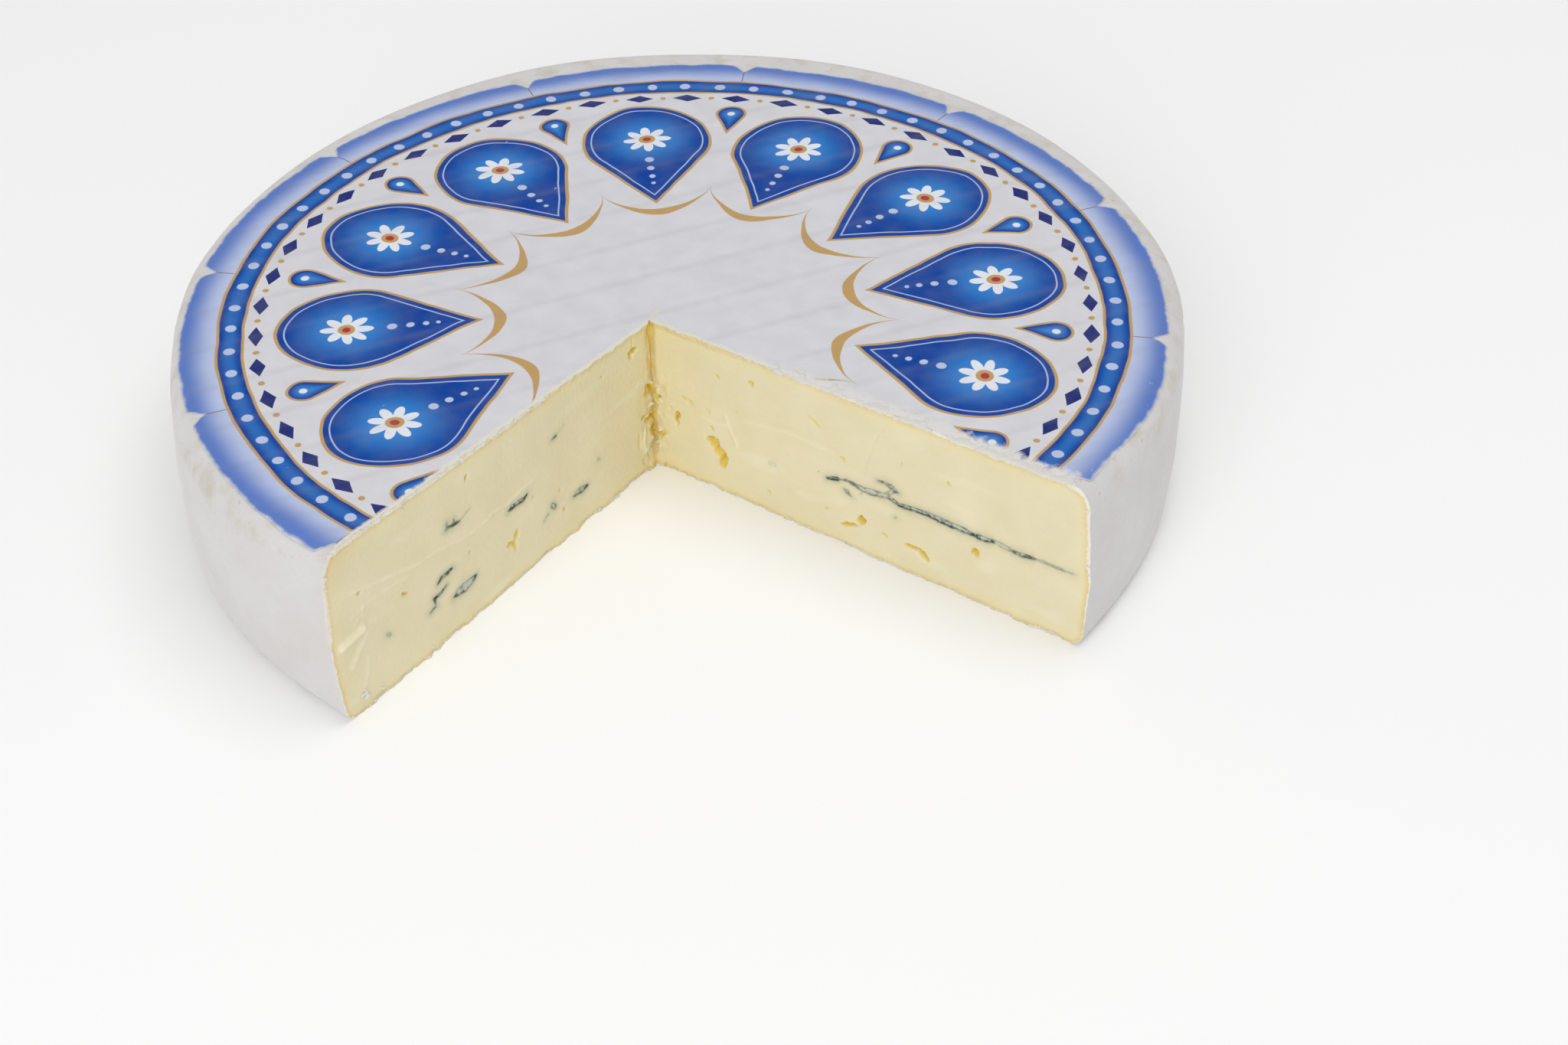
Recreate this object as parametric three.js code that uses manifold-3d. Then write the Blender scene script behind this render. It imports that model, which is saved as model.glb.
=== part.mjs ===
// A soft blue cheese: a low round wheel with a quarter cut out, and the printed paper label
// that lies on its top. Millimetres, +Z up. The origin is the middle of the wheel, on the
// flat face that it rests on, and the missing quarter opens towards -Y.

import * as THREE from 'three';
import { mergeVertices } from 'three/addons/utils/BufferGeometryUtils.js';
import Module from 'manifold-3d';

// The wheel. A soft cheese is never quite round: its rim swells and shrinks in a few broad
// lobes, each given as how many there are, how far they stand out and where the first one is.
const WHEEL_RADIUS = 126;
const WHEEL_HEIGHT = 42.5;
const TOP_EDGE_ROUND = 5.5;
const BASE_EDGE_ROUND = 3.5;
const WALL_BULGE = 1.2;
const RIM_LOBES = [
  { count: 1, size: 1.5, degrees: 67 },
  { count: 2, size: 3.4, degrees: 85 },
  { count: 3, size: 0.6, degrees: 24 },
  { count: 7, size: 0.35, degrees: 10 },
  { count: 11, size: 0.25, degrees: 40 },
];
const DENT_SIZE = 0.35;
const STEPS_ROUND = 132;

// The cut. Both faces start at one knife slit beside the middle of the wheel.
const SLIT = { x: -5.7, y: -7.7, width: 0.9 };
const CUT_REACH = 142;
const CUT_OVERSHOOT = 2.5;
const FACES = {
  left: { degrees: -127.2, towardsGap: 1, sag: 6.2, seed: 1.7 },
  right: { degrees: -34.1, towardsGap: -1, sag: 3.7, seed: 4.2 },
};
const SAG_POWER = 1.2;
const KNIFE_WAVE = 0.3;
const RAGGED_EDGE = { height: 2.6, size: 0.55 };
const FACE_STEPS = { along: 50, up: 18 };

// Beside the cut the rim has sunk inwards, most at the top.
const CORNER_SINK = { top: 4.8, base: 1.4, spreadDegrees: 13 };

// Eyes and mould pockets that the knife has opened, as places on a face: along it from the
// slit, up from the base, then the size of the opening and its depth.
const EYES = [
  { face: 'right', along: 17.5, up: 12.4, wide: 5.4, high: 5.0, deep: 3.4 },
  { face: 'right', along: 20.2, up: 9.4, wide: 3.4, high: 4.2, deep: 2.6 },
  { face: 'right', along: 6.6, up: 16.6, wide: 2.4, high: 4.2, deep: 2.4 },
  { face: 'right', along: 61.0, up: 8.4, wide: 3.6, high: 3.6, deep: 2.4 },
  { face: 'right', along: 57.6, up: 6.4, wide: 4.4, high: 1.8, deep: 1.6 },
  { face: 'right', along: 77.4, up: 6.8, wide: 6.6, high: 3.0, deep: 2.6 },
  { face: 'right', along: 92.6, up: 13.4, wide: 2.6, high: 2.8, deep: 2.0 },
  { face: 'right', along: 55.0, up: 24.4, wide: 2.4, high: 1.6, deep: 1.4 },
  { face: 'right', along: 68.0, up: 7.7, wide: 1.8, high: 1.6, deep: 1.2 },
  { face: 'left', along: 6.1, up: 36.6, wide: 2.6, high: 3.0, deep: 2.2 },
  { face: 'left', along: 53.6, up: 12.2, wide: 4.0, high: 3.2, deep: 1.8 },
  { face: 'left', along: 66.6, up: 36.6, wide: 1.6, high: 2.2, deep: 1.4 },
  { face: 'left', along: 90.7, up: 19.5, wide: 2.4, high: 1.8, deep: 1.4 },
  { face: 'left', along: 29.5, up: 9.9, wide: 5.4, high: 2.2, deep: 1.4 },
  { face: 'left', along: 51.8, up: 20.4, wide: 6.0, high: 2.0, deep: 1.4 },
  { face: 'left', along: 73.2, up: 10.2, wide: 8.0, high: 3.0, deep: 1.6 },
  { face: 'left', along: 78.2, up: 16.6, wide: 5.6, high: 2.0, deep: 1.4 },
  { face: 'left', along: 1.6, up: 21.5, wide: 3.2, high: 4.6, deep: 3.0 },
  { face: 'left', along: 2.2, up: 12.4, wide: 3.6, high: 3.4, deep: 3.2 },
];
const EYE_ROUGHNESS = 0.16;

// One seam of blue mould lies level, as a thin open crack from deep in a face to the rim.
const SEAM = { face: 'right', from: 52, to: 119, up: 18.4, high: 1.5, deep: 1.0, steps: 26 };

// The paper label, as large as the flat of the top, cut together with the cheese.
const LABEL_RADIUS = 117;
const LABEL_THICKNESS = 0.4;
const LABEL_GAP = 0.3;
const LABEL_SETBACK = 1.0;
const LABEL_STEPS = 150;

const radians = THREE.MathUtils.degToRad;
const MIDDLE_ANGLE = radians((FACES.left.degrees + FACES.right.degrees) / 2);
const MIDDLE_PULL = 1.6;

const COLOURS = { cheese: 0xe9dfb4, label: 0x2f5cb8 };

// A smooth, repeatable unevenness between about -1 and 1.
function unevenness(a, b, seed) {
  return 0.5 * Math.sin(1.9 * a + 0.7 * b + seed)
    + 0.3 * Math.sin(-1.1 * a + 2.3 * b + 2.1 * seed)
    + 0.2 * Math.sin(3.7 * a + 3.1 * b + 3.3 * seed);
}

function rimRadius(angle) {
  let radius = WHEEL_RADIUS;
  for (const lobe of RIM_LOBES) {
    radius += lobe.size * Math.cos(lobe.count * (angle - radians(lobe.degrees)));
  }
  return radius;
}

// How far the wall has sunk inwards at this angle and height, because of the cuts.
function cornerSink(angle, height) {
  const share = height / WHEEL_HEIGHT;
  const depth = CORNER_SINK.base + (CORNER_SINK.top - CORNER_SINK.base) * share;
  let sink = 0;
  for (const face of Object.values(FACES)) {
    const away = Math.atan2(
      Math.sin(angle - radians(face.degrees)),
      Math.cos(angle - radians(face.degrees)),
    );
    sink = Math.max(sink, Math.exp(-((away / radians(CORNER_SINK.spreadDegrees)) ** 2)));
  }
  return depth * sink;
}

// The wheel's half section, from the axis on the base out round the rim to the axis on top.
function wheelProfile() {
  const points = [new THREE.Vector2(0, 0)];
  const roundSteps = 5;
  const wallSteps = 7;
  for (let i = 0; i <= roundSteps; i += 1) {
    const turn = (i / roundSteps) * Math.PI / 2;
    points.push(new THREE.Vector2(
      WHEEL_RADIUS - BASE_EDGE_ROUND * (1 - Math.sin(turn)),
      BASE_EDGE_ROUND * (1 - Math.cos(turn)),
    ));
  }
  const wallHeight = WHEEL_HEIGHT - TOP_EDGE_ROUND - BASE_EDGE_ROUND;
  for (let i = 1; i < wallSteps; i += 1) {
    const up = i / wallSteps;
    points.push(new THREE.Vector2(
      WHEEL_RADIUS + 4 * WALL_BULGE * up * (1 - up),
      BASE_EDGE_ROUND + wallHeight * up,
    ));
  }
  for (let i = 0; i <= roundSteps; i += 1) {
    const turn = (i / roundSteps) * Math.PI / 2;
    points.push(new THREE.Vector2(
      WHEEL_RADIUS - TOP_EDGE_ROUND * (1 - Math.cos(turn)),
      WHEEL_HEIGHT - TOP_EDGE_ROUND * (1 - Math.sin(turn)),
    ));
  }
  points.push(new THREE.Vector2(0, WHEEL_HEIGHT));
  return points;
}

// The uncut wheel: the half section turned about the axis, then made uneven.
function wheelGeometry() {
  const geometry = new THREE.LatheGeometry(wheelProfile(), STEPS_ROUND);
  geometry.rotateX(Math.PI / 2);
  const place = geometry.attributes.position;
  for (let i = 0; i < place.count; i += 1) {
    const x = place.getX(i);
    const y = place.getY(i);
    const z = place.getZ(i);
    const radius = Math.hypot(x, y);
    if (radius < 1) continue;
    const angle = Math.atan2(y, x);
    const onWall = Math.min(z / 8, (WHEEL_HEIGHT - z) / 8, 1);
    const dent = DENT_SIZE * onWall * unevenness(9 * angle, z / 6, 0.4);
    const share = (rimRadius(angle) - cornerSink(angle, z) + dent) / WHEEL_RADIUS;
    place.setXY(i, x * share, y * share);
  }
  return geometry;
}

// A point on a cut face, or at a depth behind it.
function facePoint(face, along, up, depth = 0) {
  const angle = radians(face.degrees);
  const share = THREE.MathUtils.clamp(1 - up / WHEEL_HEIGHT, 0, 1);
  const sag = face.sag * (along / WHEEL_RADIUS) * share ** SAG_POWER;
  const wave = KNIFE_WAVE * unevenness(along / 17, up / 13, face.seed);
  const nearEdge = Math.max(
    1 - Math.abs(WHEEL_HEIGHT - up) / RAGGED_EDGE.height,
    1 - Math.abs(up) / RAGGED_EDGE.height,
    0,
  );
  const ragged = RAGGED_EDGE.size * nearEdge * unevenness(along / 1.9, up / 3, 2 * face.seed);
  const out = face.towardsGap * (sag + wave + ragged - depth - SLIT.width / 2);
  return new THREE.Vector3(
    SLIT.x + along * Math.cos(angle) - out * Math.sin(angle),
    SLIT.y + along * Math.sin(angle) + out * Math.cos(angle),
    up,
  );
}

// The missing piece: a box whose two ends become the two cut faces, and whose middle is
// pulled out past the rim.
function missingPiece() {
  const geometry = new THREE.BoxGeometry(1, 1, 1, 2, FACE_STEPS.along, FACE_STEPS.up);
  const place = geometry.attributes.position;
  const tall = WHEEL_HEIGHT + 2 * CUT_OVERSHOOT;
  for (let i = 0; i < place.count; i += 1) {
    const along = (place.getY(i) + 0.5) * CUT_REACH;
    const up = (place.getZ(i) + 0.5) * tall - CUT_OVERSHOOT;
    const side = Math.sign(Math.round(place.getX(i) * 2));
    let at = facePoint(side < 0 ? FACES.right : FACES.left, along, up);
    if (side === 0) {
      at = new THREE.Vector3(
        SLIT.x + along * MIDDLE_PULL * Math.cos(MIDDLE_ANGLE),
        SLIT.y + along * MIDDLE_PULL * Math.sin(MIDDLE_ANGLE),
        up,
      );
    }
    place.setXYZ(i, at.x, at.y, at.z);
  }
  return geometry;
}

// An eye: a rough ball, flattened to its opening and sunk into its face.
function eyeGeometry(eye, seed) {
  const geometry = new THREE.IcosahedronGeometry(1, 1);
  const place = geometry.attributes.position;
  const face = FACES[eye.face];
  for (let i = 0; i < place.count; i += 1) {
    const x = place.getX(i);
    const y = place.getY(i);
    const z = place.getZ(i);
    const rough = 1 + EYE_ROUGHNESS * unevenness(2.6 * x + y, 2.4 * z - y, seed);
    const at = facePoint(
      face,
      eye.along + x * rough * eye.wide / 2,
      eye.up + z * rough * eye.high / 2,
      y * rough * eye.deep,
    );
    place.setXYZ(i, at.x, at.y, at.z);
  }
  return geometry;
}

// The seam's crack: a long thin box along its face, wavering up and down and pinched at its
// inner end.
function seamGeometry() {
  const geometry = new THREE.BoxGeometry(1, 1, 1, SEAM.steps, 2, 1);
  const place = geometry.attributes.position;
  const face = FACES[SEAM.face];
  for (let i = 0; i < place.count; i += 1) {
    const share = place.getX(i) + 0.5;
    const along = SEAM.from + (SEAM.to - SEAM.from) * share;
    const open = SEAM.high * Math.min(1, 0.25 + 5 * share) * (1 + 0.3 * Math.sin(along));
    const waver = 0.5 * unevenness(along / 3, 0, 1.3);
    const at = facePoint(
      face,
      along,
      SEAM.up + waver + place.getZ(i) * open,
      place.getY(i) * 2 * SEAM.deep,
    );
    place.setXYZ(i, at.x, at.y, at.z);
  }
  return geometry;
}

const wasm = await Module();
wasm.setup();

function toSolid(geometry) {
  const bare = geometry.clone();
  bare.deleteAttribute('normal');
  bare.deleteAttribute('uv');
  const merged = mergeVertices(bare, 1e-4);
  const index = merged.index.array;
  const triVerts = [];
  for (let i = 0; i < index.length; i += 3) {
    const [a, b, c] = [index[i], index[i + 1], index[i + 2]];
    if (a !== b && b !== c && c !== a) triVerts.push(a, b, c);
  }
  const build = () => new wasm.Manifold(new wasm.Mesh({
    numProp: 3,
    vertProperties: new Float32Array(merged.attributes.position.array),
    triVerts: new Uint32Array(triVerts),
  }));
  const solid = build();
  if (solid.volume() > 0) return solid;
  // Bending a shape onto a face can turn it inside out: the other way round is right.
  triVerts.reverse();
  return build();
}

function toGeometry(solid) {
  const mesh = solid.getMesh();
  const geometry = new THREE.BufferGeometry();
  geometry.setAttribute('position', new THREE.BufferAttribute(mesh.vertProperties, 3));
  geometry.setIndex(new THREE.BufferAttribute(mesh.triVerts, 1));
  geometry.computeVertexNormals();
  return geometry;
}

// The cheese: the wheel without the missing piece, the eyes and the seam.
function cheeseGeometry() {
  let taken = toSolid(missingPiece());
  EYES.forEach((eye, i) => {
    taken = taken.add(toSolid(eyeGeometry(eye, i)));
  });
  taken = taken.add(toSolid(seamGeometry()));
  return toGeometry(toSolid(wheelGeometry()).subtract(taken));
}

// The label: a thin disc without the missing quarter. Its cut edges lie a little behind the
// edges of the cheese.
function labelGeometry() {
  const corner = new THREE.Vector2(SLIT.x, SLIT.y);
  const straight = (face) => {
    const angle = radians(face.degrees);
    const direction = new THREE.Vector2(Math.cos(angle), Math.sin(angle));
    const back = new THREE.Vector2(-direction.y, direction.x).multiplyScalar(
      -face.towardsGap * LABEL_SETBACK,
    );
    const start = corner.clone().add(back);
    const middle = start.dot(direction);
    const reach = -middle + Math.sqrt(LABEL_RADIUS ** 2 - start.lengthSq() + middle ** 2);
    return start.clone().addScaledVector(direction, reach);
  };
  const fromPoint = straight(FACES.right);
  const toPoint = straight(FACES.left);
  const from = Math.atan2(fromPoint.y, fromPoint.x);
  const to = Math.atan2(toPoint.y, toPoint.x) + 2 * Math.PI;
  const points = [];
  for (let i = 0; i <= LABEL_STEPS; i += 1) {
    const angle = from + (to - from) * (i / LABEL_STEPS);
    points.push(new THREE.Vector2(
      LABEL_RADIUS * Math.cos(angle),
      LABEL_RADIUS * Math.sin(angle),
    ));
  }
  points.push(new THREE.Vector2(
    corner.x - 1.5 * LABEL_SETBACK * Math.cos(MIDDLE_ANGLE),
    corner.y - 1.5 * LABEL_SETBACK * Math.sin(MIDDLE_ANGLE),
  ));
  const geometry = new THREE.ExtrudeGeometry(new THREE.Shape(points), {
    depth: LABEL_THICKNESS,
    bevelEnabled: false,
  });
  geometry.translate(0, 0, WHEEL_HEIGHT + LABEL_GAP);
  return geometry;
}

function namedMesh(name, geometry, material) {
  const mesh = new THREE.Mesh(geometry, material);
  mesh.name = name;
  return mesh;
}

const cheeseWheel = new THREE.Group();
cheeseWheel.add(namedMesh('cheese', cheeseGeometry(), new THREE.MeshStandardMaterial({
  color: COLOURS.cheese,
  roughness: 0.6,
  metalness: 0,
})));
cheeseWheel.add(namedMesh('label', labelGeometry(), new THREE.MeshStandardMaterial({
  color: COLOURS.label,
  roughness: 0.4,
  metalness: 0,
})));

export default cheeseWheel;
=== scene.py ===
# %% [markdown]
# # A soft blue cheese, cut open
#
# This lesson dresses a cut wheel of soft blue cheese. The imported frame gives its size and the
# place of its two solids: the cheese and the paper label on it. Here both get the surface that
# the real ones have. The wheel is turned from a cylinder, the missing quarter is cut out with a
# folded sheet that carries every hole and knife mark, and the paper is laid on top and cut by
# the same sheet, as one knife cut both.

# %% Load the frame
import math
from functools import partial

import bmesh
import bpy
import numpy as np
from mathutils import Euler, Matrix, Vector, noise


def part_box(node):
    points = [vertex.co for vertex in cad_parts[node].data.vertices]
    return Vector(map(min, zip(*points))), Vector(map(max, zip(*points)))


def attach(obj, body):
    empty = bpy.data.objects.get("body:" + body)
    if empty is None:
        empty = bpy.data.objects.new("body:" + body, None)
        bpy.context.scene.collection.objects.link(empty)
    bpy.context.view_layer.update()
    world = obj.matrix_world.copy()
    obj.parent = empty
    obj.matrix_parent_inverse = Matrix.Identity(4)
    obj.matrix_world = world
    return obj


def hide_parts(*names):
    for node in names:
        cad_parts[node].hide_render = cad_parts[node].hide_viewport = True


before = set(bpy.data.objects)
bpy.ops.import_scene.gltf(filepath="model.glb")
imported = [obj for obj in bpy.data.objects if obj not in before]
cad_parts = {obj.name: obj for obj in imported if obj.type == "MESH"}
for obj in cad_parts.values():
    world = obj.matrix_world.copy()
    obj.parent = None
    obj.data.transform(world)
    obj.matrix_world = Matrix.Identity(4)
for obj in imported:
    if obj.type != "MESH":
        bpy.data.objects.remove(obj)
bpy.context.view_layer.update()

cheese_low, cheese_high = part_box("cheese")

# %% [markdown]
# ## Measures of the wheel
#
# Everything is in metres, so one millimetre has a name. A soft cheese is never quite round: its
# rim swells and shrinks in a few broad lobes. Each lobe says how many there are round the wheel,
# how far they stand out and where the first one is. These are the same measures that the solid
# was made from, so the dressed wheel stays where the solid is.

# %% Measures of the wheel
MM = 0.001
WHEEL_RADIUS = 126 * MM
WHEEL_HEIGHT = cheese_high[2]
TOP_EDGE_ROUND = 5.5 * MM
BASE_EDGE_ROUND = 3.5 * MM
WALL_BULGE = 1.2 * MM
RIM_LOBES = [
    (1, 1.5 * MM, 67), (2, 3.4 * MM, 85), (3, 0.6 * MM, 24), (7, 0.35 * MM, 10), (11, 0.25 * MM, 40),
]
CORNER_SINK_TOP = 4.8 * MM
CORNER_SINK_BASE = 1.4 * MM
CORNER_SPREAD = math.radians(13)

SLIT = np.array([-5.7 * MM, -7.7 * MM])
SLIT_WIDTH = 0.9 * MM
CUT_REACH = 133 * MM
LEFT = {"angle": math.radians(-127.2), "towards_gap": 1, "sag": 6.2 * MM, "seed": 1.7}
RIGHT = {"angle": math.radians(-34.1), "towards_gap": -1, "sag": 3.7 * MM, "seed": 4.2}
MIDDLE_ANGLE = (LEFT["angle"] + RIGHT["angle"]) / 2
SAG_POWER = 1.2


def direction_of(angle):
    """The direction of an angle, seen from above."""
    return np.array([math.cos(angle), math.sin(angle)])


def rim_radius(angle):
    """The wheel's radius at the widest part of its wall, in any direction."""
    radius = WHEEL_RADIUS
    for count, size, degrees in RIM_LOBES:
        radius = radius + size * np.cos(count * (angle - math.radians(degrees)))
    return radius


def corner_sink(angle, height):
    """How far the wall has sunk inwards beside the two cuts, most at the top."""
    share = np.clip(height / WHEEL_HEIGHT, 0, 1)
    depth = CORNER_SINK_BASE + (CORNER_SINK_TOP - CORNER_SINK_BASE) * share
    sink = 0
    for face in (LEFT, RIGHT):
        turn = angle - face["angle"]
        away = np.arctan2(np.sin(turn), np.cos(turn))
        sink = np.maximum(sink, np.exp(-(away / CORNER_SPREAD) ** 2))
    return depth * sink


def wall_radius(angle, height):
    """The radius of the outer wall, without the rounding of its two edges."""
    share = np.clip(height / WHEEL_HEIGHT, 0, 1)
    return rim_radius(angle) - corner_sink(angle, height) + 4 * WALL_BULGE * share * (1 - share)


def under_skin(points):
    """How deep each point lies below the nearest outside of the uncut wheel."""
    x, y, z = points.T
    from_wall = wall_radius(np.arctan2(y, x), z) - np.hypot(x, y)
    from_top = WHEEL_HEIGHT - z
    depth = np.minimum(np.minimum(from_wall, from_top), z)
    for from_flat, round_size in ((from_top, TOP_EDGE_ROUND), (z, BASE_EDGE_ROUND)):
        corner = np.hypot(round_size - from_wall, round_size - from_flat)
        in_corner = (from_wall < round_size) & (from_flat < round_size)
        depth = np.where(in_corner, round_size - corner, depth)
    return depth


def top_height(x, y):
    """The height of the cheese's top at a place, down the round edge as well."""
    radius, angle = np.hypot(x, y), np.arctan2(y, x)
    height = np.full_like(radius, WHEEL_HEIGHT)
    for _ in range(3):
        past_flat = np.clip(radius - wall_radius(angle, height) + TOP_EDGE_ROUND, 0, TOP_EDGE_ROUND)
        height = WHEEL_HEIGHT - TOP_EDGE_ROUND + np.sqrt(TOP_EDGE_ROUND ** 2 - past_flat ** 2)
    return height


print("rim radius in mm at 0, 90, 180, 270 degrees:",
      [round(float(rim_radius(math.radians(a))) / MM, 1) for a in (0, 90, 180, 270)])

# %% [markdown]
# ## Helpers
#
# A mesh operator acts on all that is selected, so each piece starts from a clear selection.
# Numbers for many points at once go in and out of a mesh as NumPy arrays. Natural unevenness
# comes from smooth noise, which gives the same result on each run.

# %% Helpers for meshes
def start_clean():
    """Leaves edit mode and deselects everything."""
    if bpy.context.object and bpy.context.object.mode != "OBJECT":
        bpy.ops.object.mode_set(mode="OBJECT")
    bpy.ops.object.select_all(action="DESELECT")


def read_points(obj):
    """The object's points as an array with one row each."""
    points = np.empty(len(obj.data.vertices) * 3)
    obj.data.vertices.foreach_get("co", points)
    return points.reshape(-1, 3)


def write_points(obj, points):
    """Puts the points of an array back into the object."""
    obj.data.vertices.foreach_set("co", np.asarray(points, dtype=np.float64).ravel())
    obj.data.update()


def store(obj, name, values):
    """Keeps one number for each point on the mesh, for its material to read."""
    layer = obj.data.attributes.new(name, "FLOAT", "POINT")
    layer.data.foreach_set("value", np.asarray(values, dtype=np.float32))


def roughness_at(points, size, seed):
    """Smooth noise between about -1 and 1 with bumps of this size."""
    moved = points / size + seed * 17.3
    return np.array([noise.noise(Vector(p)) for p in moved])


def smooth_step(low, high, values):
    """0 up to low, 1 from high, and a soft rise between."""
    share = np.clip((values - low) / (high - low), 0, 1)
    return share * share * (3 - 2 * share)


def choose(obj):
    """Selects this object alone and makes it the active one."""
    start_clean()
    obj.select_set(True)
    bpy.context.view_layer.objects.active = obj


def apply_modifiers(obj):
    """Applies every modifier of the object in order."""
    choose(obj)
    for modifier in list(obj.modifiers):
        bpy.ops.object.modifier_apply(modifier=modifier.name)


def triangles(obj):
    """How many triangles the object's mesh has."""
    obj.data.calc_loop_triangles()
    return len(obj.data.loop_triangles)


# %% [markdown]
# ## The turned wheel
#
# The cheese sets in a round mould and leaves it as a low drum with soft edges. A cylinder gives
# that drum: its top rim gets a wide bevel, its base rim a tighter one, and the wall is divided
# into rings so that it can bulge. Then each point moves out or in with the lobes, the sunken
# corners and the small dents that handling leaves.

# %% Turn the wheel
RIM_STEPS = 720
WALL_RINGS = 24
TOP_EDGE_STEPS = 7
BASE_EDGE_STEPS = 4
DENT_SIZE = 0.35 * MM
DENT_WIDTH = 14 * MM
BUMP_SIZE = 0.16 * MM
BUMP_WIDTH = 3.4 * MM


def select_edges(obj, wanted):
    """Selects the edges whose two end points pass a test, and nothing else."""
    edit = bmesh.from_edit_mesh(obj.data)
    for face in edit.faces:
        face.select = False
    for edge in edit.edges:
        edge.select = wanted(edge.verts[0].co, edge.verts[1].co)
    bmesh.update_edit_mesh(obj.data)


def turn_wheel():
    """A drum with rounded rims and a wall in rings."""
    start_clean()
    bpy.ops.mesh.primitive_cylinder_add(
        vertices=RIM_STEPS, radius=WHEEL_RADIUS, depth=WHEEL_HEIGHT,
        location=(0, 0, WHEEL_HEIGHT / 2), end_fill_type="NGON",
    )
    wheel = bpy.context.object
    wheel.name = "cheese_wheel"
    bpy.ops.object.transform_apply(location=True, rotation=True, scale=True)
    bpy.ops.object.mode_set(mode="EDIT")
    bpy.ops.mesh.select_mode(type="EDGE")
    near = 0.1 * MM
    select_edges(wheel, lambda a, b: min(a.z, b.z) > WHEEL_HEIGHT - near)
    bpy.ops.mesh.bevel(offset=TOP_EDGE_ROUND, segments=TOP_EDGE_STEPS)
    select_edges(wheel, lambda a, b: max(a.z, b.z) < near)
    bpy.ops.mesh.bevel(offset=BASE_EDGE_ROUND, segments=BASE_EDGE_STEPS)
    select_edges(wheel, lambda a, b: abs(a.z - b.z) > WHEEL_HEIGHT / 2)
    bpy.ops.mesh.subdivide(number_cuts=WALL_RINGS)
    bpy.ops.object.mode_set(mode="OBJECT")
    return wheel


def make_uneven(wheel):
    """Moves the drum's points to the lobes, dents and bumps of a real wheel."""
    points = read_points(wheel)
    x, y, z = points.T
    radius = np.hypot(x, y)
    angle = np.arctan2(y, x)
    on_wall = np.clip(np.minimum(z, WHEEL_HEIGHT - z) / (6 * MM), 0, 1)
    dents = DENT_SIZE * roughness_at(points, DENT_WIDTH, 1) * on_wall
    bumps = BUMP_SIZE * roughness_at(points, BUMP_WIDTH, 2) * on_wall
    target = wall_radius(angle, z) + dents + bumps
    share = np.where(radius > 1 * MM, target / WHEEL_RADIUS, 1)
    points[:, 0] *= share
    points[:, 1] *= share
    write_points(wheel, points)


wheel = turn_wheel()
make_uneven(wheel)
print("turned wheel:", triangles(wheel), "triangles")

# %% [markdown]
# ## The paper label
#
# The label is a disc of coated paper that was laid on the young rind and has sunk into it. Its
# rim is notched twelve times, so that it can bend over the round edge. It starts as a flat
# circle of rings and spokes, with the spokes crowded where the notches are. Shrinkwrap drops it
# onto the wheel, and then it gets the long soft creases of paper that has dried on something
# moist.

# %% Lay the label
LABEL_RADIUS = 119.4 * MM
LABEL_SPOKES = 600
LABEL_RINGS = 44
SECTORS = 12
FIRST_NOTCH = math.radians(22.1)
NOTCH_DEPTH = 3.8 * MM
NOTCH_HALF = 3.2 * MM
SPOKE_CROWDING = 0.6
RING_CROWDING = 0.35
RIM_LEFT_BARE = 1.6 * MM
RIM_WAVE = 0.45 * MM
PAPER_THICKNESS = 0.16 * MM
LABEL_LIFT = 0.02 * MM
CREASE_HEIGHT = 0.4 * MM
CREASE_TURN = math.radians(-28)


def label_edge(angle):
    """The label's radius in each direction, with its notches and a slightly wavy rim."""
    sector = 2 * math.pi / SECTORS
    from_notch = (angle - FIRST_NOTCH + sector / 2) % sector - sector / 2
    away = np.clip(np.abs(from_notch) * LABEL_RADIUS / NOTCH_HALF, 0, 1)
    notch = NOTCH_DEPTH * (1 - away) ** 1.3
    rim = np.column_stack([np.cos(angle), np.sin(angle), np.zeros_like(angle)]) * LABEL_RADIUS
    wavy = LABEL_RADIUS + RIM_WAVE * roughness_at(rim, 9 * MM, 23)
    return np.minimum(wavy, wall_radius(angle, WHEEL_HEIGHT) - RIM_LEFT_BARE) - notch


def from_cuts(points):
    """How far each point is from the nearer cut, seen from above."""
    nearest = np.full(len(points), 1.0)
    from_slit = points[:, :2] - SLIT
    for face in (LEFT, RIGHT):
        direction = direction_of(face["angle"])
        along = np.maximum(from_slit @ direction, 0)
        away = np.linalg.norm(from_slit - along[:, None] * direction, axis=1)
        nearest = np.minimum(nearest, away)
    return nearest


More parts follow.
